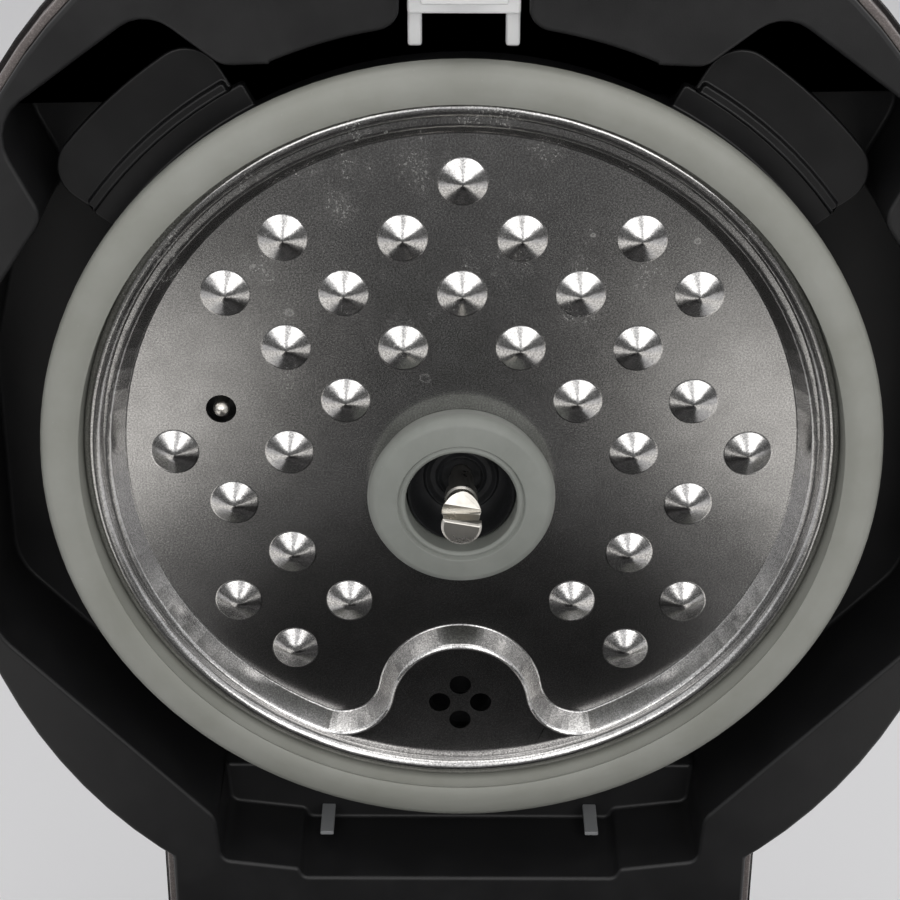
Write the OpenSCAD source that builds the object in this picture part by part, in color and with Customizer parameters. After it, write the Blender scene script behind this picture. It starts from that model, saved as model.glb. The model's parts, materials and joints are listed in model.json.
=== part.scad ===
// Electric induction pressure rice cooker, shown with its lid standing open.
// Origin: pot axis at the surface the feet stand on. +Z up, front towards -Y.
// Lid parts are drawn in the lid's own axes (x across, y towards the lid's
// front edge, z out of the inner face) and placed by place_lid().

/* [Lid outline] */
// Half width of the lid and body across the cooker
half_width = 130; // [128:1:134]
// Half length of the oval part, front to back
half_length = 146.5; // [145:0.5:150]
// Distance of the oval's centre in front of the pot axis
oval_shift = 3.15; // [2:0.05:4.5]
// Squareness of the oval: 2 is an ellipse, more is squarer
oval_power = 2.16; // [2.1:0.02:2.24]
// Half width of the lid's neck at the hinge
neck_half_w = 78.8; // [77:0.2:80]
// Corner radius of the neck seen from above
neck_corner_r = 9; // [5:1:14]

/* [Lid shell] */
// Height of the crown above the inner plate
crown_h = 56; // [52:1:66]
// Wall of the outer cover
cover_wall = 2.6; // [1.8:0.1:3.5]
// Height of the trim band round the lid's edge
trim_h = 5; // [4:0.5:6]
// Distance of the trim band inside the outer outline
trim_inset = 1.3; // [0.8:0.1:1.8]
// Height of the rim face above the inner plate
rim_h = 10; // [9:0.5:11]
// Distance of the rim face's edge inside the outer outline
rim_inset = 3.4; // [3:0.1:4]
// Thickness of the liner's rim face
rim_wall = 2; // [1.5:0.1:3]
// Wall of the liner
liner_wall = 2.4; // [1.8:0.1:3]
// Depth of the bowl floor behind the inner plate
bowl_floor = 25; // [22:1:28]
// Distance between the bowl and the outer outline at the sides
rim_side_w = 13; // [12:0.5:14]
// Radius of the bowl's front edge about the gasket's axis
bowl_front_r = 108.5; // [107:0.5:110]
// Half width of the bowl where it runs into the neck
bowl_neck_half_w = 62.5; // [56:0.5:66]
// Distance from the pot axis to the back lip of the bowl
bowl_back = 117; // [115:0.2:118]
// Half width of the deeper middle part of the back lip
lip_mid_half_w = 42; // [30:0.5:50]
// Extra distance of that middle part
lip_mid_step = 5.5; // [4:0.1:7]
// How far the lip beside it runs back towards it
lip_slope = 2.6; // [0.5:0.1:3.5]
// Height of the bowl's floor at the neck above the rest of it
neck_step = 8; // [2:0.5:12]
// Radius of the platform that carries the heat plate
platform_r = 97; // [95:0.5:99]

/* [Hinge] */
// Angle through which the lid opens
open_angle = 90; // [85:1:95]
// Distance of the hinge axis behind the pot axis
hinge_back = 152; // [150:0.5:156]
// Distance of the hinge axis below the inner plate, lid closed
hinge_drop = 16; // [14:0.5:18]
// Radius of the hinge pin
hinge_pin_r = 3; // [2.5:0.1:4]
// Radius of the lid's hinge knuckles
knuckle_r = 11; // [9:0.5:11]
// Width of one hinge knuckle
knuckle_w = 24; // [14:1:30]
// Radius of the spring wire
hinge_wire_r = 1.1; // [0.8:0.1:1.4]
// Coils in the hinge spring
hinge_coils = 9; // [6:1:14]

/* [Inner lid plate] */
// Radius of the flat, dimpled part of the plate
plate_r = 82; // [80:0.1:82.4]
// Height of the plate's outer ledge above its flat
ledge_h = 5.5; // [4:0.5:5.5]
// Radial run of the wall up to the ledge
ledge_run = 3.1; // [2:0.1:3.4]
// Radius of the plate where the gasket grips it
plate_rim_r = 90.9; // [90.5:0.1:91]
// Radius of the round bead inside that edge
bead_r = 2.2; // [2:0.1:2.3]
// Thickness of the pressed sheet
sheet_t = 0.8; // [0.5:0.1:1]
// Distance between neighbouring dimples along a row
dimple_pitch = 28; // [26:0.5:29]
// Distance of the dimple pattern behind the gasket's centre
dimple_shift = 1.4; // [0:0.1:3]
// Radius of a dimple
dimple_r = 5.8; // [4:0.2:6.6]
// Height of a dimple
dimple_h = 2.3; // [1.5:0.1:3.5]
// Distance from the centre to the steam island
island_back = 71.3; // [70:0.1:72]
// Radius of the steam island
island_r = 20.8; // [18:0.2:22]
// Corner radius where the island runs into the ledge
island_toe_r = 9.8; // [7:0.2:11]
// Radius of a steam hole
steam_hole_r = 2.75; // [1.5:0.05:3]
// Distance of the steam holes from their centre
steam_hole_ring = 5.25; // [4.6:0.05:7]
// Distance of their centre in front of the island's
steam_hole_shift = 1; // [0:0.1:2]

/* [Gasket and carrier] */
// Outer radius of the gasket
gasket_r = 100.7; // [100:0.1:101.5]
// Radius of the gasket's crest, which seals on the pot
gasket_crest_r = 94.2; // [93.5:0.1:95]
// Height of the gasket's crest above the plate
gasket_crest_h = 14.2; // [13.5:0.1:15]
// Height of the gasket's foot above the plate
gasket_foot_h = 8.5; // [7.5:0.1:9]
// Inner radius of the sealing lip
gasket_lip_r = 91.4; // [91:0.1:92]
// Outer radius of the carrier ring under the gasket
carrier_r = 99.5; // [98:0.1:100]
// Outer radius of the finger tabs
tab_r = 119.5; // [115:0.5:120]
// Inner radius of the finger tabs
tab_inner_r = 107.5; // [105:0.5:109]
// Half angle of a finger tab
tab_half_angle = 12.2; // [8:0.2:12.6]
// Middle angle of a finger tab from the lid's side axis
tab_angle = 48; // [46:0.5:49]
// Thickness of a finger tab
tab_t = 3; // [2:0.2:4]
// Radius of a finger tab's outer corners
tab_corner_r = 8.5; // [5:0.5:9]
// Distance of the centre grommet behind the gasket's centre
grommet_back = 11.2; // [9:0.1:13]
// Outer radius of the grommet
grommet_r = 22.8; // [20:0.1:24]
// Radius of the hole through the grommet
grommet_hole_r = 13.5; // [12:0.1:14.5]
// Height of the grommet above the plate
grommet_h = 5; // [3:0.2:6]

/* [Pins in the lid] */
// Radius of the pressure pin's head
pin_r = 4.85; // [4:0.05:5.5]
// Height of the pressure pin's tip above the plate
pin_tip = 22; // [16:1:24]
// Radius of the pressure pin's shaft
pin_shaft_r = 2.5; // [2:0.1:3]
// Travel of the pressure pin
pin_travel = 3; // [2:0.5:4]
// Outer radius of the rubber boot round the pin
boot_r = 10; // [9:0.1:11]
// Distance of the lid sensor to the left of the centre
sensor_x = 58.2; // [56:0.1:59]
// Distance of the lid sensor in front of the gasket's centre
sensor_y = 10.2; // [8:0.1:12]
// Radius of the lid sensor's pin
sensor_pin_r = 2; // [1.5:0.1:2.4]
// Radius of the hole for it in the plate
sensor_hole_r = 3.7; // [3:0.1:4.2]

/* [Latch] */
// Half width of the latch
latch_half_w = 12.5; // [10:0.5:12.8]
// Half width of the slot for it in the liner
slot_half_w = 14.2; // [13.6:0.1:16]
// Distance from the pot axis to the latch's legs
latch_back = 101.8; // [101.6:0.1:103]
// Distance from the pot axis to the latch's cross bar
latch_bar = 110; // [108:0.5:112]
// Distance from the pot axis to the front of the latch's hook
hook_front = 127; // [126:0.5:128.5]
// Thickness of the hook's stem
hook_t = 5; // [4:0.5:6]
// Reach of the hook's nose under the keeper
hook_reach = 6; // [5:0.5:7]
// Height of the hook's tip above the plate
hook_tip = 24; // [23:0.5:26]
// Travel of the latch
latch_travel = 5; // [4:0.5:6]
// Half width of the release button
release_half_w = 20; // [16:1:24]
// Travel of the release button
release_travel = 4; // [3:0.5:5]

/* [Steam vent] */
// Radius of the steam cap
cap_r = 27; // [24:0.5:30]
// Height of the steam cap
cap_h = 13; // [10:0.5:16]
// Bore radius of the steam pipe
pipe_bore_r = 8; // [7.8:0.1:9]
// Wall of the steam pipe
pipe_wall = 2; // [1.5:0.1:2.5]

/* [Inner pot] */
// Inside radius of the pot
pot_r = 87.5; // [85:0.5:88.5]
// Wall of the pot
pot_wall = 3; // [2:0.1:4]
// Height of the pot with its flange
pot_h = 104; // [90:1:108]
// Inside corner radius at the pot's bottom
pot_corner_r = 36; // [20:1:45]
// Outer radius of the pot's flange
pot_flange_r = 103; // [101:0.5:103.5]
// Thickness of the pot's flange
pot_flange_t = 2.2; // [1.6:0.1:3]

/* [Body] */
// Height of the body's top face above the table
body_h = 160; // [150:1:170]
// Height of the top frame
frame_h = 12; // [9:0.5:14]
// Wall of the outer shell
shell_wall = 2.4; // [1.8:0.1:3.2]
// Height of the feet
foot_h = 6; // [4:0.5:8]
// Radius of a foot
foot_r = 11; // [8:0.5:13]
// Height of the bottom pan's wall
pan_h = 13; // [10:0.5:16]
// Thickness of the bottom pan
pan_t = 2.5; // [2:0.1:3.5]
// Half width of the hinge housing behind the body
tongue_half_w = 92; // [90:0.5:95]
// Distance of the hinge housing's back wall behind the pot axis
tongue_back = 168; // [167:0.5:172]
// Corner radius of the hinge housing
tongue_corner_r = 14; // [8:1:18]
// Wall of the inner case round the pot
case_wall = 2.2; // [1.6:0.1:3]
// Gap between the pot and the inner case
pot_gap = 2.5; // [2:0.1:4]

/* [Heating] */
// Radius of the coil's wire
coil_wire_r = 1.8; // [1.4:0.1:2]
// Turns under the flat of the pot
coil_turns = 9; // [5:1:9]
// Inner radius of the coil
coil_inner_r = 24; // [22:1:27]
// Radius of the bottom sensor's head
probe_r = 12; // [9:0.5:14]
// Travel of the bottom sensor
probe_travel = 4; // [2:0.5:5]

/* [Controls] */
// Half width of the control panel
panel_half_w = 62; // [54:1:66]
// Height of the control panel
panel_h = 74; // [66:1:80]
// Height of the control panel's lower edge above the table
panel_bottom = 58; // [52:1:64]
// Thickness of the control panel
panel_t = 2.4; // [2:0.1:3.5]
// Half width of the display window
display_half_w = 28; // [22:1:30]
// Height of the display window
display_h = 26; // [20:1:28]
// Radius of a round button
button_r = 6.5; // [5:0.5:7.5]
// Travel of a button
button_travel = 1.2; // [0.8:0.1:1.5]
// How far a button stands out
button_proud = 1.6; // [1.4:0.1:2]

/* [Electrics] */
// Outer radius of the fan's blades
fan_r = 27; // [22:1:29]
// Thickness of the fan
fan_h = 16; // [12:1:20]
// Blades on the fan
fan_blades = 7; // [5:1:9]
// Half width of the power inlet
inlet_half_w = 15; // [12:0.5:18]
// Height of the power inlet
inlet_h = 22; // [18:1:26]
// Depth of the power inlet's socket
inlet_depth = 14; // [10:0.5:18]
// Radius of the power inlet's pins
inlet_pin_r = 1.8; // [1.5:0.1:2]

/* [Fits] */
// Clearance between a moving piece and its opening
play = 0.3; // [0.2:0.05:0.5]
// Running clearance round the hinge pin and the sliding pins
running = 0.06; // [0.02:0.01:0.1]
// Gap between the closed lid's rim and the body
lid_gap = 1; // [0.6:0.1:1.5]

/* [Hidden] */
$fn = 96;
eps = 0.01;

// Height of the inner plate above the table with the lid closed
plate_z = body_h + lid_gap + rim_h;
hinge_z = plate_z - hinge_drop;
neck_back = hinge_back + knuckle_r + rim_inset;
pot_top = plate_z - gasket_crest_h - play;
pot_floor = pot_top - pot_h;
case_r = pot_r + pot_wall + pot_gap;
case_floor = pot_floor - pot_gap;
recess_r = pot_flange_r + 1;
hinge_floor = hinge_z - knuckle_r - rim_inset - 2;
hinge_front = hinge_back - knuckle_r - 3;
pan_floor = foot_h + pan_t;

// Puts a piece drawn in the lid's axes where the open lid holds it
module place_lid() {
    translate([0, hinge_back, hinge_z])
        rotate([180 - open_angle, 0, 0])
            translate([0, hinge_back, -hinge_drop])
                children();
}

module both_sides() {
    children();
    mirror([1, 0, 0]) children();
}

// ---- plan outlines ----

// Points along an arc, without its last one
function arc(c, r, a1, a2, n) =
    [for (i = [0:n - 1]) c + r * [cos(a1 + (a2 - a1) * i / n), sin(a1 + (a2 - a1) * i / n)]];

function signed_power(x, power) = sign(x) * pow(abs(x), power);

// Points of the oval, inset all round by the given amount
function oval_points(inset, steps = 22) = [for (i = [0:4 * steps - 1]) let (
    t = 90 * i / steps,
    p = [half_width * signed_power(cos(t), 2 / oval_power),
        half_length * signed_power(sin(t), 2 / oval_power)],
    out = unit([signed_power(p[0] / half_width, oval_power - 1) / half_width,
        signed_power(p[1] / half_length, oval_power - 1) / half_length]))
    p - inset * out];

// How far the oval's front has fallen back at distance x from the middle
function front_sag(x) = half_length * (1 - pow(1 - pow(abs(x) / half_width, oval_power), 1 / oval_power));

module oval(inset = 0) {
    polygon(oval_points(inset));
}

// The oval, moved by oval_shift, with a neck of half width w that ends at y = -reach
module oval_with_neck(inset, w, reach, corner_r) {
    points = [for (p = oval_points(inset)) p + [0, oval_shift]];
    join_y = lookup(w, [for (p = points) if (p[0] >= 0 && p[1] <= oval_shift) [p[0], p[1]]]);
    polygon(concat([for (p = points) if (p[1] > 0 || p[0] < -w) p],
        [[-w, join_y]], arc([corner_r - w, corner_r - reach], corner_r, 180, 270, 6),
        [[corner_r - w, -reach]], arc([w - corner_r, corner_r - reach], corner_r, 270, 360, 6),
        [[w, corner_r - reach], [w, join_y]],
        [for (p = points) if (p[1] <= 0 && p[0] > w) p]));
}

// Rectangle from y1 to y2 with the two corners at y2 rounded
module round_end(half_w, y1, y2, r) {
    s = y2 > y1 ? 1 : -1;
    right = [for (p = concat(arc([half_w - r, y2 - s * r], r, 0, s * 90, 6),
        [[half_w - r, y2]])) p];
    polygon(concat([[half_w, y1]], right,
        [for (i = [len(right) - 1:-1:0]) [-right[i][0], right[i][1]]], [[-half_w, y1]]));
}

// Rectangle with four round corners
module round_rect(half_w, y1, y2, r) {
    polygon(concat(arc([half_w - r, y1 + r], r, -90, 0, 6), arc([half_w - r, y2 - r], r, 0, 90, 6),
        arc([r - half_w, y2 - r], r, 90, 180, 6), arc([r - half_w, y1 + r], r, 180, 270, 6)));
}

// Plan of the lid in the lid's axes
module lid_plan(inset = 0) {
    oval_with_neck(inset, neck_half_w - inset, neck_back - inset, neck_corner_r);
}

// Plan of the body
module body_plan(inset = 0) {
    mirror([0, 1])
        oval_with_neck(inset, tongue_half_w - inset, tongue_back - inset, tongue_corner_r);
}

// Outline through corner points [x, y, radius], each corner rounded by its radius
// and the whole grown outwards by the given amount. Points run anticlockwise.
function unit(v) = v / norm(v);
function xy(p) = [p[0], p[1]];
function grown(points, grow) = let (n = len(points)) [for (i = [0:n - 1])
    let (d1 = unit(xy(points[i]) - xy(points[(i + n - 1) % n])),
         d2 = unit(xy(points[(i + 1) % n]) - xy(points[i])),
         n1 = [d1[1], -d1[0]], n2 = [d2[1], -d2[0]],
         turn = d1[0] * d2[1] - d1[1] * d2[0],
         p = xy(points[i]) + grow * (n1 + n2) / (1 + n1 * n2))
    [p[0], p[1], max(0.2, points[i][2] + (turn > 0 ? grow : -grow))]];
function rounded(points, steps = 5) = let (n = len(points)) [for (i = [0:n - 1])
    let (p = xy(points[i]),
         d1 = unit(p - xy(points[(i + n - 1) % n])),
         d2 = unit(xy(points[(i + 1) % n]) - p),
         turn = d1[0] * d2[1] - d1[1] * d2[0] > 0 ? 1 : -1,
         bend = acos(max(-1, min(1, d1 * d2))),
         r = points[i][2],
         c = p - d1 * r * tan(bend / 2) + turn * r * [-d1[1], d1[0]],
         from = atan2(-turn * d1[0], turn * d1[1]))
    for (k = [0:steps]) c + r * [cos(from + turn * bend * k / steps), sin(from + turn * bend * k / steps)]];
// Closed outline from its right half, whose points run upwards
function mirrored(half) = concat(half,
    [for (i = [len(half) - 1:-1:0]) [-half[i][0], half[i][1], half[i][2]]]);

// Ring sector from angle a1 to a2 with round outer corners
module round_sector(r1, r2, a1, a2, rc) {
    da = asin(rc / (r2 - rc));
    function at(a) = (r2 - rc) * [cos(a), sin(a)];
    polygon(concat(arc(at(a1 + da), rc, a1 - 90, a1 + da, 8), arc([0, 0], r2, a1 + da, a2 - da, 8),
        arc(at(a2 - da), rc, a2 - da, a2 + 90, 8), [(r2 - rc) * cos(da) * [cos(a2), sin(a2)]],
        arc([0, 0], r1, a2, a1, 10), [r1 * [cos(a1), sin(a1)]]));
}

// Wire wound on radius r about +Z, from z = wire, drawn as one swept body,
// with a straight leg at each end where asked
module coil(r, wire, turns, pitch, leg = 0, steps = 12, sides = 5) {
    n = turns * steps;
    function ring(i, along) = let (a = 360 * i / steps, t = [-sin(a), cos(a), 0])
        [for (k = [0:sides - 1]) let (b = 360 * k / sides, q = r + wire * cos(b))
            along * t + [q * cos(a), q * sin(a), wire + pitch * i / steps + wire * sin(b)]];
    rings = concat(leg > 0 ? [ring(0, -leg)] : [], [for (i = [0:n]) ring(i, 0)],
        leg > 0 ? [ring(n, leg)] : []);
    last = len(rings) - 1;
    walls = [for (i = [0:last - 1], k = [0:sides - 1])
        let (m = (k + 1) % sides)
        [i * sides + k, (i + 1) * sides + k, (i + 1) * sides + m, i * sides + m]];
    polyhedron([for (row = rings, point = row) point],
        concat(walls, [[for (k = [0:sides - 1]) k]], [[for (k = [sides - 1:-1:0]) last * sides + k]]));
}

// ---- lid ----

// Insets of the crown at rising heights, as shares of the crown's height
crown_steps = [[0, 0], [0.25, 0.3], [0.52, 2], [0.68, 6.5], [0.81, 14.5],
    [0.91, 26], [0.97, 41], [1, 58]];

module crown(wall) {
    h = crown_h - wall;
    hull() for (s = crown_steps)
        translate([0, oval_shift, -h * s[0] - eps]) linear_extrude(eps) oval(s[1] + wall);
    hull() for (s = crown_steps)
        translate([0, 0, -h * s[0] - eps]) linear_extrude(eps)
            round_end(neck_half_w - s[1] - wall, -half_length / 2,
                -neck_back + s[1] + wall, neck_corner_r);
}

latch_low = 0;
latch_t = 7;
leg_w = 3.2;
release_y = 100;
release_len = 22;
release_top = crown_h - 3;
wedge_half_w = 5;
wedge_back = 104;
wedge_front = latch_bar - play;
// How far behind the plate the wedge stays
wedge_deep = 8;
guard_wall = 2;
guard_half_w = latch_half_w - leg_w - 2 * play;
neck_front = 105;

module release_plan(grow = 0) {
    round_rect(release_half_w + grow, release_y - release_len / 2 - grow,
        release_y + release_len / 2 + grow, 6);
}

cap_seat_h = 6;

module lid_cover() {
    color("#1b1a1c") place_lid() difference() {
        union() {
            difference() {
                crown(0);
                translate([0, 0, 2 * eps]) crown(cover_wall);
            }
            // cup that holds the steam cap
            translate([0, -island_back, -crown_h + 1])
                cylinder(h = cap_seat_h + cover_wall - 1, r = cap_r + play + cover_wall);
        }
        translate([0, 0, -crown_h - 1]) linear_extrude(crown_h / 2) release_plan(play);
        translate([0, -island_back, -crown_h - 1])
            cylinder(h = cap_seat_h + 1, r = cap_r + play);
        translate([0, -island_back, -crown_h - 1])
            cylinder(h = crown_h / 2, r = pipe_bore_r + pipe_wall);
    }
}

module lid_trim() {
    color("#8f8486") place_lid() linear_extrude(trim_h) difference() {
        lid_plan(trim_inset);
        lid_plan(rim_inset);
    }
}

// Corners of the bowl's right half, from the neck to the front: [x, y, radius]
bowl_half = [
    [lip_mid_half_w - 1, -bowl_back - lip_mid_step, 2],
    [lip_mid_half_w + 0.4, -bowl_back - lip_slope, 1.5],
    [bowl_neck_half_w, -bowl_back, 3],
    [bowl_neck_half_w + 1, -bowl_back + 13.5, 6],
    [half_width - rim_side_w, -46, 18],
    [half_width - rim_side_w, 15, 50],
    [half_width - 20, 42, 20],
    [half_width - 34.5, 63, 6],
    [half_width - 24, 85, 11],
    [70, 111.5, 9],
    [53.5, 98.8, 6],
    [43, 99.2, 2]];

// Radius of the liner's edges beside the latch slot
slot_round = 5.5;
slot_end = hook_front + latch_travel + 2;

// Outline of the bowl and the latch slot in the liner, grown by the wall where asked
module bowl_plan(grow = 0) {
    loop = rounded(grown(mirrored(bowl_half), grow));
    front_r = bowl_front_r + grow;
    fillet_r = slot_round - grow;
    fillet_x = slot_half_w + slot_round;
    fillet_c = [fillet_x, sqrt(pow(bowl_front_r + slot_round, 2) - pow(fillet_x, 2))];
    fillet_a = atan2(fillet_c[1], fillet_c[0]);
    end_r = 3;
    right = concat([for (i = [0:len(loop) / 2 - 1]) loop[i]],
        arc([0, 0], front_r, 67, fillet_a, 8),
        arc(fillet_c, fillet_r, fillet_a + 180, 180, 6),
        arc([slot_half_w + grow - end_r, slot_end + grow - end_r], end_r, 0, 90, 5),
        [[slot_half_w + grow - end_r, slot_end + grow]]);
    polygon(concat(right, [for (i = [len(right) - 1:-1:0]) [-right[i][0], right[i][1]]]));
}

module knuckles() {
    both_sides() translate([neck_half_w - rim_inset - knuckle_w, 0, 0]) {
        translate([0, -hinge_back, hinge_drop]) rotate([0, 90, 0])
            cylinder(h = knuckle_w, r = knuckle_r);
        translate([0, -hinge_back - knuckle_r, rim_h - rim_wall])
            cube([knuckle_w, 2 * knuckle_r, hinge_drop - rim_h + rim_wall]);
    }
}

module lid_liner() {
    color("#232325") place_lid() difference() {
        union() {
            // rim face and its skirt inside the trim
            translate([0, 0, rim_h - rim_wall]) linear_extrude(rim_wall) difference() {
                lid_plan(rim_inset);
                bowl_plan();
                translate([0, -neck_back - 1])
                    square([2 * (neck_half_w - rim_inset - knuckle_w - 1), 4 * knuckle_r], center = true);
            }
            linear_extrude(rim_h - rim_wall + eps) difference() {
                lid_plan(rim_inset);
                lid_plan(rim_inset + liner_wall);
            }
            // bowl wall
            translate([0, 0, -bowl_floor]) linear_extrude(bowl_floor + rim_h - eps) difference() {
                bowl_plan(liner_wall);
                bowl_plan();
            }
            // bowl floor
            translate([0, 0, -bowl_floor - liner_wall]) linear_extrude(liner_wall + eps)
                bowl_plan(liner_wall);
            // platform for the heat plate
            translate([0, 0, -bowl_floor]) difference() {
                cylinder(h = bowl_floor - plate_back, r = platform_r);
                translate([0, 0, -1]) cylinder(h = bowl_floor, r = platform_r - liner_wall);
            }
            // raised floor at the neck
            translate([0, 0, -bowl_floor - eps]) linear_extrude(neck_step) intersection() {
                bowl_plan(eps);
                translate([-half_width, -2 * neck_front]) square([2 * half_width, neck_front]);
            }
            // guard over the release button's wedge, between the latch's legs
            translate([-guard_half_w, latch_back, -bowl_floor - eps])
                cube([2 * guard_half_w, wedge_front - latch_back, bowl_floor + latch_low - 1]);
            knuckles();
        }
        translate([-wedge_half_w - play, wedge_back - play, -bowl_floor - 5])
            cube([2 * (wedge_half_w + play), wedge_front - wedge_back + 1,
                bowl_floor + 5 + latch_low - 1 - guard_wall]);
        // bores through the floor for pin, sensor and steam pipe
        translate([0, -grommet_back, -bowl_floor - 5]) cylinder(h = 10, r = boot_r - 2);
        translate([-sensor_x, sensor_y, -bowl_floor - 5]) cylinder(h = 10, r = sensor_hole_r + 1);
        translate([0, -island_back, -bowl_floor - 5])
            cylinder(h = 10, r = pipe_bore_r + pipe_wall);
        // way for the release button's wedge
        translate([-wedge_half_w - play, wedge_back - play, -bowl_floor - 5])
            cube([2 * (wedge_half_w + play), wedge_front + latch_travel - wedge_back + 2 * play, 10]);
        // hinge bore
        translate([-neck_half_w, -hinge_back, hinge_drop]) rotate([0, 90, 0])
            cylinder(h = 2 * neck_half_w, r = hinge_pin_r + running);
    }
}

plate_back = 9.5;
heat_plate_t = 1.5;

module heat_plate() {
    color("#9a9b9d") place_lid() translate([0, 0, -plate_back]) difference() {
        cylinder(h = heat_plate_t, r = platform_r);
        translate([0, -grommet_back, -1]) cylinder(h = 5, r = boot_r);
        translate([-sensor_x, sensor_y, -1]) cylinder(h = 5, r = sensor_hole_r + 1);
        translate([0, -island_back, -1]) cylinder(h = 5, r = pipe_bore_r + pipe_wall);
    }
}

module inner_lid_clips() {
    clip_w = 3.6;
    clip_t = 1.2;
    clip_x = 35.6;
    clip_end = 4.2;
    color("#8b8c8e") place_lid() both_sides()
        translate([clip_x - clip_w / 2, -bowl_back - 2.2, neck_step - bowl_floor])
            cube([clip_w, clip_t, bowl_floor - neck_step - clip_end]);
}

// ---- inner lid ----

// Outline of the dished front, round the island, grown all round by the given amount
function dish_points(grow) = let (
    from_main = plate_r - island_toe_r,
    from_isle = island_r + island_toe_r,
    apart = island_back - dimple_shift,
    down = (pow(from_main, 2) - pow(from_isle, 2) + pow(apart, 2)) / (2 * apart),
    side = sqrt(pow(from_main, 2) - pow(down, 2)),
    toe_y = -dimple_shift - down,
    a = atan2(-down, side),
    tilt = atan2(apart - down, side))
    concat(arc([0, -dimple_shift], plate_r + grow, a, 180 - a, 80),
        arc([-side, toe_y], island_toe_r + grow, 180 - a, 360 - tilt, 12),
        arc([0, -island_back], island_r - grow, 180 - tilt, tilt, 28),
        arc([side, toe_y], island_toe_r + grow, tilt - 180, a, 12));

// Solid that fills the dish from z1 to z2; its wall leans out as it rises
module dish(grow, z1, z2) {
    slope = ledge_run / ledge_h;
    low = dish_points(grow + slope * z1);
    high = dish_points(grow + slope * z2);
    n = len(low);
    polyhedron(concat([for (p = low) [p[0], p[1], z1]], [for (p = high) [p[0], p[1], z2]]),
        concat([[for (i = [0:n - 1]) i]], [[for (i = [n - 1:-1:0]) n + i]],
            [for (i = [0:n - 1]) [i, n + i, n + (i + 1) % n, (i + 1) % n]]));
}

// Rows of the dimple pattern: [half pitches towards the front, places in half pitches]
dimple_rows = [[5, [0]], [4, [-3, -1, 1, 3]], [3, [-4, -2, 0, 2, 4]],
    [2, [-3, -1, 1, 3]], [1, [-2, 2, 4]], [0, [-5, -3, 3, 5]], [-1, [-4, 4]],
    [-2, [-3, 3]], [-3, [-4, -2, 2, 4]], [-4, [-3, 3]]];

module at_dimples() {
    for (row = dimple_rows, place = row[1])
        translate([place, row[0]] * dimple_pitch / 2 - [0, dimple_shift]) children();
}

// Section of the round bead that the gasket grips
bead_lift = 1.2;
rim_seam = plate_rim_r - 3.7;

module bead_section() {
    c = [plate_rim_r - bead_r, ledge_h + bead_lift];
    a = 180 + asin(bead_lift / bead_r);
    inner = bead_r - sheet_t;
    foot = ledge_h - sheet_t + 0.2;
    polygon(concat([[c[0] + bead_r * cos(a), foot]], arc(c, bead_r, a, 0, 14),
        [[plate_rim_r, c[1]], [plate_rim_r, foot - 0.4], [plate_rim_r - sheet_t, foot - 0.4]],
        arc(c, inner, 0, a, 10), [[c[0] + inner * cos(a), foot]]));
}

module inner_lid_plate() {
    color("#c9c9ca") place_lid() difference() {
        union() {
            difference() {
                translate([0, 0, -sheet_t]) cylinder(h = ledge_h + sheet_t, r = rim_seam);
                // dished front, round the island
                intersection() {
                    dish(0, -1, ledge_h + 1);
                    cylinder(h = 2 * ledge_h, r = plate_rim_r);
                }
                // hollow behind the ledge and the island
                difference() {
                    translate([0, 0, -sheet_t - 1]) cylinder(h = ledge_h + 1, r = rim_seam + 1);
                    dish(sheet_t * 1.15, -sheet_t - 2, ledge_h + 1);
                }
            }
            rotate_extrude($fn = 180) bead_section();
            at_dimples() translate([0, 0, -eps]) cylinder(h = dimple_h, r1 = dimple_r, r2 = 0.5);
        }
        at_dimples() translate([0, 0, -sheet_t - eps])
            cylinder(h = dimple_h, r1 = dimple_r, r2 = 0.5);
        translate([0, -grommet_back, -2]) cylinder(h = 10, r = grommet_seat_r);
        translate([-sensor_x, sensor_y, -2]) cylinder(h = 10, r = sensor_hole_r);
        for (a = [0:90:270]) translate([0, steam_hole_shift - island_back, -2]) rotate([0, 0, a])
            translate([steam_hole_ring, 0, 0]) cylinder(h = 20, r = steam_hole_r);
    }
}

grommet_seat_r = 17;

module gasket() {
    color("#96988f") place_lid() rotate_extrude($fn = 180) polygon([
        [plate_rim_r, ledge_h + bead_lift], [plate_rim_r, -sheet_t], [plate_rim_r + 2, -sheet_t],
        [plate_rim_r + 2.4, gasket_foot_h], [gasket_r - 1, gasket_foot_h],
        [gasket_r, gasket_foot_h + 0.8], [gasket_r, gasket_foot_h + 2.8],
        [gasket_r - 0.7, gasket_foot_h + 4], [gasket_r - 2.4, gasket_crest_h - 0.6],
        [gasket_crest_r + 1.4, gasket_crest_h - 0.05], [gasket_crest_r, gasket_crest_h],
        [gasket_lip_r + 1, gasket_crest_h - 0.4], [gasket_lip_r, gasket_crest_h - 0.9],
        [gasket_lip_r + 0.2, gasket_crest_h - 1.7], [gasket_lip_r + 1.2, gasket_crest_h - 3],
        [gasket_lip_r + 0.6, gasket_crest_h - 5.4]]);
}

tab_foot_t = 6;
tab_step = 2.6;
tab_face = 0.6;

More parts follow.
